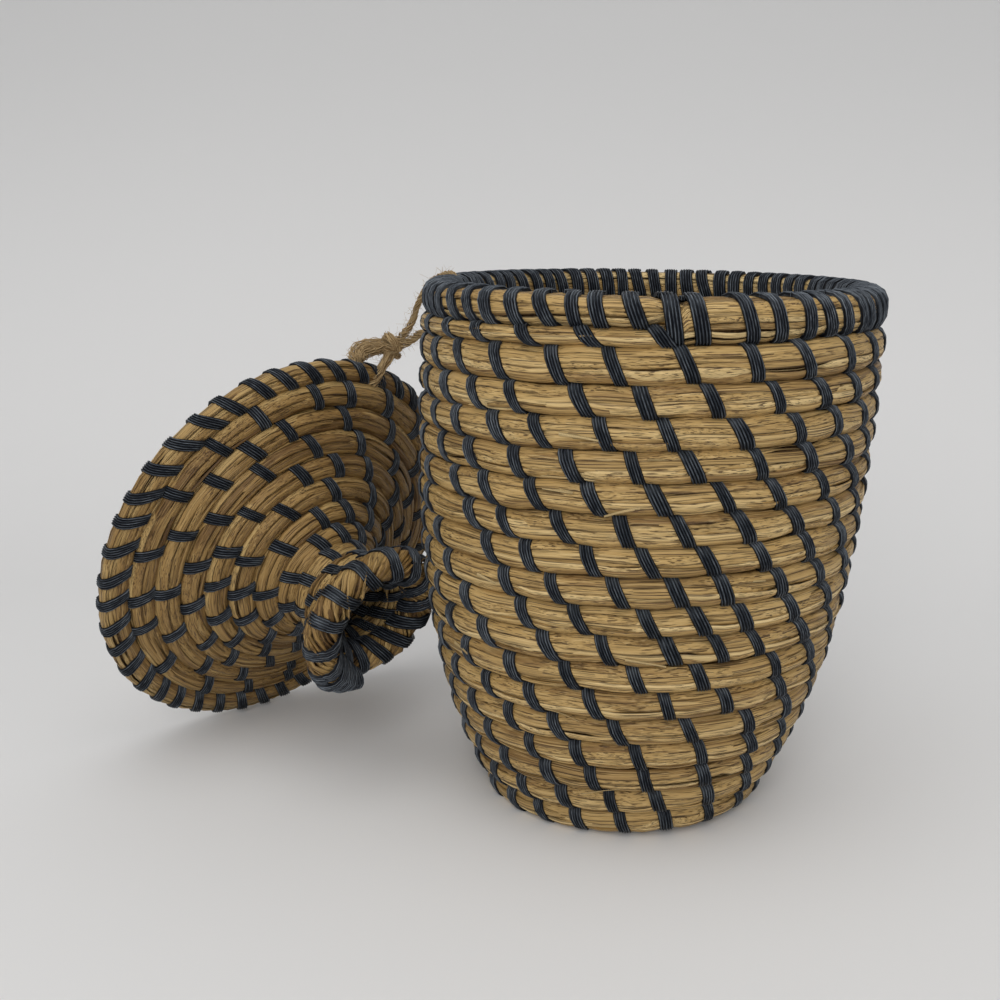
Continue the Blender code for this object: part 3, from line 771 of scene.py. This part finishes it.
def chain_places(row):
    """The stitches of one row of the wall, where the chains lead."""
    seen = []
    for first, *places in FRONT_CHAINS:
        rows = CHAIN_ROWS[first:first + len(places)]
        if rows[0] <= row <= rows[-1]:
            seen.append(float(np.interp(row, rows, places)))
    places = all_places(sorted(seen), row_spacing(row))
    return [place + chance.uniform(-0.9, 0.9) for place in places]


# The rim's end and the coil's seam lie this many degrees to the right of the front
RIM_START_PLACE = 3
FIRST_STITCH_TURN = 0.01
WALL_SLANT = 0.0042
WALL_LEAN_DEGREES = 3.7
WALL_ONWARD = 0.022
WALL_LENGTHS = 4
wall_stitches = []
for row in range(2, 20):
    for place in chain_places(row):
        place = (place + 180 - RIM_START_PLACE) % 360 - 180 + RIM_START_PLACE
        turn = WALL_TURNS - (row - 2) + (place - RIM_START_PLACE) / 360
        if FIRST_STITCH_TURN < turn < WALL_TURNS:
            wall_stitches.append(turn)
wall_stitches.sort()
# The long bundle, in lengths from the foot up
for part in range(WALL_LENGTHS):
    reach = (WALL_TURNS * part / WALL_LENGTHS, WALL_TURNS * (part + 1) / WALL_LENGTHS)
    bundle(f"wall_grass_{part + 1}", coil_strip(wall_row, reach, wall_stitches, wall_metres),
           "basket", WALL_SLANT, 1.0 + part * 3, () if part else ("wall_coil",))
strips = []
for turn in wall_stitches:
    lean = (WALL_LEAN_DEGREES + chance.uniform(-0.9, 1.1)) / 360
    size = 1 + chance.uniform(-0.12, 0.12)
    strips.append(stitch_strip(wall_row, turn, lean, WALL_ONWARD, size))
sewn("wall_ribbon", strips, "basket", ("wall_binder",))

# A few straws have come loose and stand a little off the wall: each one's place along the
# coil, its angle round the row, its length and its width
LOOSE_STRAWS = (
    (12.138, 30, 0.010, 0.0016),
    (12.2, -25, -0.010, 0.0013),
    (5.14, -35, 0.011, 0.0014),
    (9.087, 10, 0.009, 0.0010),
    (7.197, -15, 0.012, 0.0012),
    (13.228, 40, -0.012, 0.0010),
    (6.049, 20, 0.010, 0.0012),
    (2.2, -30, -0.013, 0.0013),
    (9.267, 35, 0.009, 0.0010),
    (14.148, 0, 0.012, 0.0011),
)
LOOSE_LIFT = 0.0016
LOOSE_DROOP = 0.0012
LOOSE_REACH = 1.12
LOOSE_THICKNESS = 0.0004
LOOSE_RIDGE = 0.00005
LOOSE_TONE = 0.9
share = np.linspace(0, 1, 8)
strips = []
for turn, angle, length, width in LOOSE_STRAWS:
    at, out, rise, half = wall_row(turn + share * length / wall_metres(turn))
    side, up = math.cos(math.radians(angle)), math.sin(math.radians(angle))
    normal = unit(out * side * half[:, 1:2] + rise * up * half[:, :1])
    place = at + (out * side * half[:, :1] + rise * up * half[:, 1:2]) * LOOSE_REACH
    away = normal * LOOSE_LIFT * share[:, None] ** 2 - rise * LOOSE_DROOP * share[:, None]
    strips.append({
        "at": place + away,
        "out": normal,
        "size": (1 - 0.4 * share) * width / RIBBON_WIDTH,
        "tone": 0 * share + LOOSE_TONE,
        "along": share * abs(length) + turn,
    })
loose_inputs = {**RIBBON_INPUTS, "Thickness": LOOSE_THICKNESS, "Ridge": LOOSE_RIDGE, "Ridges": 2,
                "Material": wall_grass}
loose_straws = plain_mesh("loose_straws", strips, ribbon_strip, loose_inputs)
finished(loose_straws, "basket")


# Rim
# The last turn is a taller bundle that thins out until it ends on its own start. Ribbon
# wraps it closely all round, over the top and down the inside.
RIM_TURNS = (WALL_TURNS, WALL_TURNS + 1 + RIM_JOIN)
RIM_SEEN = (-60, -53, -46.5, -40, -32, -25, -17.5, -11.5, -3.5, 4.5, 10.8, 21.4, 28.5, 36, 43, 49,
            56, 61, 66, 71)
RIM_SPACING = 5.45
RIM_SLANT = 0.004
RIM_LEAN_DEGREES = 3.0
RIM_RIBBON_SIZE = 1.06


def wrapped_rim(turns):
    return wall_row(turns, wrapped=True)


rim_wraps = sorted(
    WALL_TURNS + ((place + chance.uniform(-0.7, 0.7) - RIM_START_PLACE) % 360) / 360
    for place in all_places(RIM_SEEN, RIM_SPACING)
)
bundle("rim_grass", coil_strip(wall_row, RIM_TURNS, rim_wraps, wall_metres), "basket",
       RIM_SLANT, 20.0, ("rim_coil",), straws=19)
strips = []
for turn, after in zip(rim_wraps, [*rim_wraps[1:], rim_wraps[0] + 1]):
    lean = (RIM_LEAN_DEGREES + chance.uniform(-1.2, 1.6)) / 360
    size = RIM_RIBBON_SIZE + chance.uniform(-0.1, 0.12)
    strips.append(stitch_strip(wrapped_rim, turn, lean, after - turn, size, RIM_LIFT))
sewn("rim_ribbon", strips, "basket")


# Lid
# A shallow cone, wound from the knob at its middle out to a thick rim that thins to its end.
# It is made as it lies on the mouth, then laid down beside the basket as its joints lay it.
LID_RADIUS = 0.078
LID_HEIGHT = 0.0622
LID_SEAT_DEPTH = 0.0045
LID_START = math.radians(65)
LID_COIL_HALF_WIDTH = 0.0046
LID_STITCH_SLANT = 0.0040
LID_RIM_SLANT = 0.0065
LID_ONWARD = 0.009
LID_JOIN = 0.05
LID_ROW_OVERLAP = 0.0001
LID_WAVER = 0.0003
LID_END_THINNING = 0.45
LID_RIM_TRIM = 0.0009
LID_RIM_GROOVE = 0.0042
LID_RIM_RISE_SHARE = 0.87
LID_RIM_CORE = 0.0030
LID_RIM_WIDTH_SHARE = 0.3
LID_RIM_TILT = (-0.96, 0.28)
LID_RIM_WRAPS = 43
KNOB_SHIFT = (-0.0065, -0.0038)
TIE_AZIMUTH = math.radians(158.7)
SEAT_GAP = 0.0003
TWINE_RADIUS = 0.00125
# Each row's radius and height, as shares of the lid's: eight of the lid, then the knob's
LID_ROW_SHARES = (
    (0.869, 0.027), (0.756, 0.072), (0.648, 0.124), (0.547, 0.182), (0.446, 0.246),
    (0.345, 0.320), (0.251, 0.410), (0.168, 0.517), (0.172, 0.678), (0.205, 0.815),
    (0.262, 0.938), (0.330, 1.050),
)
NECK_TURN = 8
KNOB_THICK_TURNS = (10.3, 10.8)
KNOB_TALLER = 0.0011
KNOB_WIDER = 0.0007
KNOB_THIN_TURN = 11.7
KNOB_END_TURN = 11.78
# The lid's row numbers, with the azimuths of their stitches where they are seen
LID_SEEN = {
    1: (152, 169, 183, 203.3, 217.8, 236.9, 257, 274, 285.6, 306.5, 330),
    2: (144.5, 170, 194.3, 209.5, 226, 248.4, 272.4, 294, 318.6, 340.8),
    3: (134.4, 160, 185, 210.5, 236.5, 259.5, 280.5, 305.4, 324.6),
    4: (122, 151.5, 173, 195, 225.6, 248.6, 267, 289.2, 312),
    5: (143.8, 176.7, 211.2, 250, 273.6, 295.7),
    6: (138, 166.8, 190.8, 231, 272.4),
    7: (150, 175.8, 203.4, 249.6),
}
LID_SPACINGS = {1: 17.8, 2: 23, 3: 24.5, 4: 24.5, 5: 30, 6: 33, 7: 37}

tie_swing, lid_swing = frame["record"]["behaviour"]["joints"]


def swung(joint, degrees):
    """How a body moves when this joint turns, about where the joint lies now."""
    place = Matrix.Translation(joint["pos_m"])
    turn = Matrix.Rotation(math.radians(degrees), 4, Vector(joint["axis"]))
    return place @ turn @ place.inverted()


opened = swung(lid_swing, -lid_swing["range_deg"][1]) @ swung(tie_swing, -tie_swing["range_deg"][1])
tie_out = Vector((math.cos(TIE_AZIMUTH), math.sin(TIE_AZIMUTH), 0))
tie_side = Vector((-math.sin(TIE_AZIMUTH), math.cos(TIE_AZIMUTH), 0))
mouth = Matrix.Translation((MOUTH_SHIFT, 0, BASKET_HEIGHT + LID_SEAT_DEPTH + SEAT_GAP))
lid_tip = math.asin((2 * TWINE_RADIUS + SEAT_GAP) / (2 * LID_RADIUS))
far_edge = Matrix.Translation(-tie_out * LID_RADIUS)
closed = mouth @ far_edge @ Matrix.Rotation(-lid_tip, 4, tie_side) @ far_edge.inverted()
lid_matrix = np.array(opened @ closed)


def lid_spiral(rows):
    """The coil's radius and height, by the number of its row."""
    numbers = range(1, len(LID_ROW_SHARES) + 1)
    shares = np.array(LID_ROW_SHARES)
    radius = np.interp(rows, numbers, shares[:, 0] * LID_RADIUS)
    return radius, np.interp(rows, numbers, shares[:, 1] * LID_HEIGHT)


def lid_row(turns):
    """The lid's coil as wall_row gives the wall's: the rim's turn, then the rows and the knob."""
    turns, around = around_axis(LID_START, turns)
    radius, height = lid_spiral(turns)
    rows = np.clip(turns, 1.5, len(LID_ROW_SHARES) - 0.5)
    ahead, behind = lid_spiral(rows + 0.5), lid_spiral(rows - 0.5)
    step = np.stack([ahead[0] - behind[0], ahead[1] - behind[1]], 1)
    half_height = np.linalg.norm(step, axis=1) / 2 + LID_ROW_OVERLAP
    thick = smooth(turns, *KNOB_THICK_TURNS)
    half_height = half_height + thick * KNOB_TALLER
    half_width = LID_COIL_HALF_WIDTH + thick * KNOB_WIDER
    # The rim's turn fills what the second row leaves, down to the edge that seats on the basket
    inner_radius = lid_spiral(turns + 1)[0] + LID_RIM_GROOVE
    rim_half = (LID_RADIUS - inner_radius) / 2
    rim_height = rim_half * LID_RIM_RISE_SHARE - LID_SEAT_DEPTH
    rim_width = LID_RIM_CORE + rim_half * LID_RIM_WIDTH_SHARE
    in_rim = 1 - smooth(turns, 1 - LID_JOIN / 3, 1 + LID_JOIN)
    radius = toward(radius, LID_RADIUS - rim_half - LID_RIM_TRIM, in_rim)
    height = toward(height, rim_height + LID_RIM_TRIM, in_rim)
    half_height = toward(half_height, rim_half - LID_RIM_TRIM, in_rim)
    half_width = toward(half_width, rim_width - LID_RIM_TRIM, in_rim)
    step = unit(toward(unit(step), np.array(LID_RIM_TILT), in_rim[:, None]))
    ends = smooth(-turns, -0.04, 0.0) + smooth(turns, KNOB_THIN_TURN, KNOB_END_TURN)
    end = 1 - LID_END_THINNING * ends
    waver = wobble(turns * 2 * math.pi, 7) * LID_WAVER
    lean = (height / LID_HEIGHT) ** 2
    above = np.array([0, 0, 1])
    centre = around * (radius + waver)[:, None] + above * height[:, None]
    centre[:, :2] += np.outer(lean, KNOB_SHIFT)
    rise = around * step[:, :1] + above * step[:, 1:]
    out = around * step[:, 1:] - above * step[:, :1]
    centre = centre @ lid_matrix[:3, :3].T + lid_matrix[:3, 3]
    rise, out = rise @ lid_matrix[:3, :3].T, out @ lid_matrix[:3, :3].T
    return centre, out, rise, np.stack([half_width * end, half_height * end], 1)


def lid_metres(turn):
    return 2 * math.pi * float(lid_spiral(turn)[0])


lid_stitches = sorted(
    row + ((place + chance.uniform(-1, 1) - math.degrees(LID_START)) % 360) / 360
    for row, places in LID_SEEN.items()
    for place in all_places(places, LID_SPACINGS[row])
)
lid_rim_wraps = [
    (number + chance.uniform(-0.08, 0.08)) / LID_RIM_WRAPS for number in range(LID_RIM_WRAPS)
]
bundle("lid_rim_grass", coil_strip(lid_row, (0, 1 + LID_JOIN), lid_rim_wraps, lid_metres), "lid",
       LID_STITCH_SLANT, 30.0, ("lid_rim_coil",), straws=18)
bundle("lid_grass", coil_strip(lid_row, (1, NECK_TURN), lid_stitches, lid_metres), "lid",
       LID_STITCH_SLANT, 33.0, ("lid_coil",), straws=15)
strips = []
for turn in lid_rim_wraps:
    lean = LID_RIM_SLANT * chance.uniform(0.8, 1.2) / lid_metres(1)
    strips.append(stitch_strip(lid_row, turn, lean, 1 / LID_RIM_WRAPS))
for turn in lid_stitches:
    lean = LID_STITCH_SLANT * chance.uniform(0.7, 1.3) / lid_metres(turn)
    size = 1 + chance.uniform(-0.12, 0.1)
    strips.append(stitch_strip(lid_row, turn, lean, LID_ONWARD / lid_metres(turn), size))
sewn("lid_ribbon", strips, "lid", ("lid_binder",))


# Knob
# The coil goes on up from the lid's middle as a hollow, flaring knob. Its last turn is a thick,
# twisted bundle with a broader ribbon round it, and the ribbon's end is knotted there.
KNOB_GAP = 0.0098
KNOB_RIM_TURN = 10.4
KNOB_NECK_TWIST = 30.0
KNOB_RIM_TWIST = 170.0
KNOB_BROAD_TURNS = (10.2, 10.7)
KNOB_BROADER = 0.15
KNOB_END_WRAPS = (0.075, 0.045, 0.015)
KNOB_LEAN_LIMIT = 60


def even_stitches(turn, end, gap, metres_per_turn):
    """Stitches about this gap apart, by the turns at which they stand."""
    found = []
    while turn < end:
        found.append(turn)
        turn += gap * chance.uniform(0.9, 1.1) / metres_per_turn(turn)
    return found


knob_stitches = even_stitches(NECK_TURN + FIRST_STITCH_TURN, KNOB_END_TURN, KNOB_GAP, lid_metres)
knob_stitches += [KNOB_END_TURN - back for back in KNOB_END_WRAPS]
knob_stitches.sort()
for name, reach, seed, replaced, wander, twist in (
    ("knob_grass", (NECK_TURN, KNOB_RIM_TURN), 36.0, ("knob_coil",), 0.6, KNOB_NECK_TWIST),
    ("knob_rim_grass", (KNOB_RIM_TURN, KNOB_END_TURN), 39.0, (), 0.4, KNOB_RIM_TWIST),
):
    bundle(name, coil_strip(lid_row, reach, knob_stitches, lid_metres), "lid",
           LID_STITCH_SLANT, seed, replaced, 14, wander, twist)
strips = []
for turn, after in zip(knob_stitches, [*knob_stitches[1:], KNOB_END_TURN]):
    most = (after - turn) * KNOB_LEAN_LIMIT
    lean = LID_STITCH_SLANT * min(chance.uniform(0.8, 1.4) / lid_metres(turn), most)
    broader = KNOB_BROADER * float(smooth(turn, *KNOB_BROAD_TURNS))
    size = 1.0 + broader + chance.uniform(-0.08, 0.08)
    strips.append(stitch_strip(lid_row, turn, lean, after - turn, size))
sewn("knob_ribbon", strips, "lid", ("knob_binder",))


# Base
# The coil's first rows lie flat in a spiral, a little above the floor, inside the first row of
# the wall on which the basket stands.
BASE_TURNS = 4.42
BASE_PITCH = 0.0091
BASE_LIFT = 0.0011
BASE_HALF_HEIGHT = 0.0040
BASE_STITCH_GAP = 0.0165
BASE_START_TURN = 0.06
BASE_FIRST_STITCH = 0.08
BASE_THIN_TURN = 4.3
BASE_END_THINNING = 0.4
BASE_RADIUS = 0.0432
BASE_LEAST_RADIUS = 0.004
FLOOR_CLEARANCE = 0.00005


def base_row(turns):
    """The base's spiral as wall_row gives the wall's, with its outer side down."""
    turns, around = around_axis(COIL_START, turns)
    start_radius = float(np.linalg.norm(wall_row(0)[0][0, :2]))
    radius = start_radius + BASE_PITCH * (turns + BASE_START_TURN)
    centre = around * radius[:, None]
    centre[:, 2] = BASE_LIFT + BASE_HALF_HEIGHT
    down = np.tile([0.0, 0.0, -1.0], (len(turns), 1))
    half = np.tile([BASE_HALF_HEIGHT, BASE_PITCH / 2 + LID_ROW_OVERLAP], (len(turns), 1))
    end = 1 - BASE_END_THINNING * smooth(-turns, BASE_THIN_TURN, BASE_TURNS)
    return centre, down, around, half * end[:, None]


def base_metres(turn):
    return 2 * math.pi * max(BASE_RADIUS + BASE_PITCH * turn, BASE_LEAST_RADIUS)


def rested(obj):
    """Presses flat whatever would sink below the floor."""
    spots = np.empty(len(obj.data.vertices) * 3, np.float32)
    obj.data.vertices.foreach_get("co", spots)
    spots[2::3] = np.maximum(spots[2::3], FLOOR_CLEARANCE)
    obj.data.vertices.foreach_set("co", spots)
    obj.data.update()


base_stitches = even_stitches(BASE_FIRST_STITCH - BASE_TURNS, 0, BASE_STITCH_GAP, base_metres)
rested(bundle(
    "base_grass", coil_strip(base_row, (-BASE_TURNS, 0), base_stitches, base_metres), "basket",
    WALL_SLANT, 50.0, ("base_coil",),
))
strips = []
for turn in base_stitches:
    lean = WALL_SLANT * chance.uniform(0.7, 1.2) / base_metres(turn)
    strips.append(stitch_strip(base_row, turn, lean, LID_ONWARD / base_metres(turn)))
rested(sewn("base_ribbon", strips, "basket"))


# Twine
# Hairy jute ties the lid to the rim. One strand comes over the rim and one out of the wall;
# they meet in a knot, whose frayed ends go round the lid's edge and into the groove behind it.
JUTE_DARK = (0.20, 0.115, 0.045)
JUTE_PALE = (0.52, 0.38, 0.20)
FIBRE_WIDTH = 0.00024
FIBRE_WANDER = 1.6
HAIR_WIDTH = 0.00007
HAIR_REACH = 0.0036
HAIR_STEPS = 6
HAIRS = 160
TWINE_STEP = 0.0006

jute = Finish("jute", Roughness=0.85, Specular_IOR_Level=0.3)
jute_tone = jute.attribute("tone")
jute_patch = (jute.attribute("along") * 350).arrow(jute_tone * 7, 0.0).noise(1.0, 2)
jute_mix = (jute_tone * 0.7 + jute_patch * 0.6).between(0.15, 0.95)
jute.put("Base Color", jute_mix.mix((*JUTE_DARK, 1), (*JUTE_PALE, 1)))


def yarn_tree():
    """Fine fibres along a path, twisted together, which loosen where their bundle widens."""
    wires = new_tree("jute_yarn", "Fibres", ("Fibre Width", "Twist", "Wander", "Seed"))
    copies, number, length, chance, drift = strands(wires, "Fibres", (13, 2.93, 2, 8))
    angle = chance(1) * 2 * math.pi + length * wires["Twist"]
    angle = angle + (drift(160, 2.2) - 0.5) * wires["Wander"]
    reach = chance(2) ** 0.5 * (0.55 + drift(260, 7.7) * 0.9)
    wide, tall = half_sizes(number)
    place = read(number, "out") * (angle.maths("COSINE") * wide * reach)
    place = place + read(number, "rise") * (angle.maths("SINE") * tall * reach)
    moved = copies.node("GeometryNodeSetPosition", None, {"Geometry": copies, "Offset": place})
    moved = stored(moved, "tone", chance(4))
    moved = stored(moved, "along", length + number * 0.71)
    moved = stored(moved, "size", 0.6 + chance(3) * 0.8)
    ring = moved.node("GeometryNodeCurvePrimitiveCircle", None, {"Resolution": 4, "Radius": 0.5})
    ring = ring.node("GeometryNodeTransform", None, {
        "Geometry": ring, "Scale": wires["Fibre Width"].arrow(wires["Fibre Width"], 1.0)
    })
    return end_tree(moved, ring, wires["Material"])


jute_yarn = yarn_tree()


def yarn_strip(points, radii):
    """A smooth way through given points, with the strand's half sizes along it."""
    knots = np.array(points, float)
    ends = np.vstack([2 * knots[0] - knots[1], knots, 2 * knots[-1] - knots[-2]])
    at, sizes = [], []
    for index in range(len(knots) - 1):
        before, near, far, after = ends[index:index + 4]
        steps = max(2, round(float(np.linalg.norm(far - near)) / TWINE_STEP))
        for share in np.arange(steps) / steps:
            at.append(0.5 * (
                2 * near + (far - before) * share
                + (2 * before - 5 * near + 4 * far - after) * share**2
                + (3 * near - before - 3 * far + after) * share**3
            ))
            size = np.array(radii[index]) * (1 - share) + np.array(radii[index + 1]) * share
            sizes.append(np.broadcast_to(size, 2))
    at = np.array([*at, knots[-1]])
    sizes = np.array([*sizes, np.broadcast_to(radii[-1], 2)])
    run = unit(np.gradient(at, axis=0))
    rise = unit(np.cross(run, np.cross([0.3, 0.2, 0.93], run)))
    out = np.cross(rise, run)
    return {"at": at, "out": out, "rise": rise, "half": np.c_[sizes, 0 * sizes[:, 0]]}


def hair_strips(strips, seed):
    """Loose hairs that stand off the strands, each with its own bend."""
    chance = np.random.default_rng(seed)
    share = np.linspace(0, 1, HAIR_STEPS)[:, None]
    found = []
    for _ in range(HAIRS):
        strip = strips[chance.integers(len(strips))]
        spot = chance.integers(len(strip["at"]))
        angle = chance.uniform(0, 2 * math.pi)
        away = strip["out"][spot] * math.cos(angle) + strip["rise"][spot] * math.sin(angle)
        start = strip["at"][spot] + away * strip["half"][spot][0] * 0.5
        run = unit((away + chance.normal(0, 0.7, 3))[None])[0]
        bend = chance.normal(0, 0.55, 3)
        length = HAIR_REACH * chance.uniform(0.3, 1.0)
        at = start + (run * share + bend * share**2 * 0.6) * length
        found.append({"at": at, "out": 0 * at + [1, 0, 0], "rise": 0 * at + [0, 1, 0],
                      "half": 0 * at})
    return found


def yarn(name, strips, fibres, twist, seed):
    """A strand of twisted fibres with its loose hairs, as one object."""
    inputs = {
        "Fibres": fibres,
        "Fibre Width": FIBRE_WIDTH,
        "Twist": twist,
        "Wander": FIBRE_WANDER,
        "Seed": seed,
        "Material": jute.made,
    }
    hair_inputs = {**inputs, "Fibres": 1, "Fibre Width": HAIR_WIDTH}
    return joined(name, [
        plain_mesh(name, strips, jute_yarn, inputs),
        plain_mesh(f"{name}_hairs", hair_strips(strips, int(seed)), jute_yarn, hair_inputs),
    ])


KNOT = (-0.0885, 0.0361, 0.1503)
rim_strand = yarn_strip(
    [(-0.0598, 0.0057, 0.1690), (-0.0606, 0.0064, 0.1752), (-0.0635, 0.0085, 0.1786),
     (-0.0705, 0.0161, 0.1757), (-0.0742, 0.0178, 0.1714), (-0.0770, 0.0214, 0.1662),
     (-0.0817, 0.0292, 0.1575), KNOT],
    [0.0010, 0.0010, 0.0010, 0.0010, 0.0010, 0.0011, 0.0014, 0.0020],
)
wall_strand = yarn_strip(
    [(-0.0655, 0.0280, 0.1560), (-0.0690, 0.0292, 0.1562), (-0.0767, 0.0272, 0.1556),
     (-0.0824, 0.0321, 0.1525), KNOT],
    [0.0013, 0.0014, 0.0015, 0.0017, 0.0022],
)
knot_body = yarn_strip(
    [(-0.0851, 0.0345, 0.1520), (-0.0873, 0.0345, 0.1512), (-0.0898, 0.0367, 0.1496),
     (-0.0913, 0.0377, 0.1480)],
    [0.0018, 0.0030, 0.0033, 0.0018],
)
knot_turn = yarn_strip(
    [(-0.0859, 0.0335, 0.1484), (-0.0879, 0.0323, 0.1528), (-0.0905, 0.0347, 0.1538),
     (-0.0915, 0.0381, 0.1512), (-0.0897, 0.0387, 0.1472), (-0.0865, 0.0363, 0.1462)],
    [0.0012, 0.0016, 0.0017, 0.0017, 0.0016, 0.0012],
)
loop_strand = yarn_strip(
    [KNOT, (-0.0906, 0.0354, 0.1462), (-0.0925, 0.0344, 0.1430), (-0.0942, 0.0332, 0.1396),
     (-0.0960, 0.0324, 0.1362), (-0.0978, 0.0330, 0.1340)],
    [0.0022, 0.0020, 0.0018, 0.0019, (0.0027, 0.0016), (0.0032, 0.0010)],
)
tail_strand = yarn_strip(
    [KNOT, (-0.0922, 0.0360, 0.1502), (-0.0960, 0.0338, 0.1499), (-0.0994, 0.0310, 0.1490),
     (-0.1014, 0.0288, 0.1466), (-0.1016, 0.0274, 0.1432)],
    [0.0022, 0.0028, 0.0033, 0.0037, 0.0036, 0.0022],
)
# Each piece with its strands, its bodies, the solid it stands for, its fibres and their twist
# in radians per metre
for name, strips, bodies, replaced, fibres, twist in (
    ("rim_strand", [rim_strand], ("basket", "tie"), "tie_rim_loop", 44, 420.0),
    ("wall_strand", [wall_strand], ("basket", "tie"), "tie_strand", 50, 300.0),
    ("knot", [knot_body, knot_turn], ("tie",), "tie_knot", 70, 250.0),
    ("lid_strand", [loop_strand], ("tie", "lid"), "tie_lid_loop", 70, 90.0),
    ("tail", [tail_strand], ("tie", "lid"), "tie_tail", 130, 60.0),
):
    piece = yarn(name, strips, fibres, twist, 60.0 + len(name))
    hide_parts(replaced)
    if len(bodies) == 1:
        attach(piece, *bodies)
        continue
    # A strand that joins two bodies is fixed to neither: its place is baked into its mesh
    at = strips[0]["at"]
    last = -1 if bodies[0] == "basket" else len(at) // 2
    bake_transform(piece)


# Floor and light
# A sheet of pale grey paper that sweeps up behind the basket, under a wide soft lamp from
# above and one from the front. Its colour darkens towards the top, a painted shade. It is
# clear from behind, so that the basket's back can be seen.
PAPER = (0.785, 0.783, 0.781)
PAPER_TOP_SHADE = (0.60, 0.60, 0.60)
PAPER_SHADE_HEIGHT = 0.45
PAPER_FRONT = -1.2
PAPER_BACK = 0.55
PAPER_SWEEP = 0.35
PAPER_HEIGHT = 1.6
PAPER_HALF_WIDTH = 1.8
SWEEP_STEPS = 12
FLOOR_DROP = 0.0002
ROOM_COLOUR = (0.97, 0.98, 1.0)
ROOM_STRENGTH = 0.43
LAMP_AIM = (0, 0, 0.08)
outline = [(PAPER_FRONT, -FLOOR_DROP), (PAPER_BACK - PAPER_SWEEP, -FLOOR_DROP)]
for step in range(1, SWEEP_STEPS + 1):
    angle = math.pi / 2 * step / SWEEP_STEPS
    outline.append((
        PAPER_BACK - PAPER_SWEEP + math.sin(angle) * PAPER_SWEEP,
        PAPER_SWEEP * (1 - math.cos(angle)) - FLOOR_DROP,
    ))
outline.append((PAPER_BACK, PAPER_HEIGHT))
points = [(side * PAPER_HALF_WIDTH, y, z) for y, z in outline for side in (-1, 1)]
faces = [(2 * i, 2 * i + 1, 2 * i + 3, 2 * i + 2) for i in range(len(outline) - 1)]
mesh = bpy.data.meshes.new("paper")
mesh.from_pydata(points, [], faces)
mesh.shade_smooth()
paper = added("paper", mesh)
paper_finish = Finish("paper", Roughness=0.8)
paper_place = paper_finish.start()
paper_up = paper_place.node("ShaderNodeSeparateXYZ", None, {0: paper_place}, 2)
# The paper darkens towards the top: painted shade
paper_up = paper_up.between(0, PAPER_SHADE_HEIGHT)
paper_finish.put("Base Color", paper_up.mix((*PAPER, 1), (*PAPER_TOP_SHADE, 1)))
behind = paper_place.node("ShaderNodeNewGeometry", None, None, 6)
clear = behind.node("ShaderNodeBsdfTransparent")
paper_shader = Wire(paper_finish.tree, paper_finish.shader.outputs[0])
seen = behind.node("ShaderNodeMixShader", None, {0: behind, 1: paper_shader, 2: clear})
surface = paper_finish.tree.nodes["Material Output"].inputs["Surface"]
paper_finish.tree.links.new(seen.socket, surface)
mesh.materials.append(paper_finish.made)

world = bpy.data.worlds.new("room")
bpy.context.scene.world = world
world.use_nodes = True
sky = world.node_tree.nodes["Background"]
sky.inputs["Color"].default_value = (*ROOM_COLOUR, 1)
sky.inputs["Strength"].default_value = ROOM_STRENGTH


def lamp(name, place, size, power, colour):
    """A round lamp that faces the middle of the basket."""
    data = bpy.data.lights.new(name, "AREA")
    data.shape = "DISK"
    data.size = size
    data.energy = power
    data.color = colour
    facing = (Vector(LAMP_AIM) - Vector(place)).to_track_quat("-Z", "Y")
    added(name, data).matrix_world = Matrix.Translation(place) @ facing.to_matrix().to_4x4()


lamp("ceiling_lamp", (-0.05, -0.45, 1.3), 1.4, 6.5, (1, 0.985, 0.96))
lamp("window", (-0.1, -1.4, 0.75), 0.8, 7.5, (1, 0.985, 0.97))
bpy.context.scene.view_settings.view_transform = "Standard"
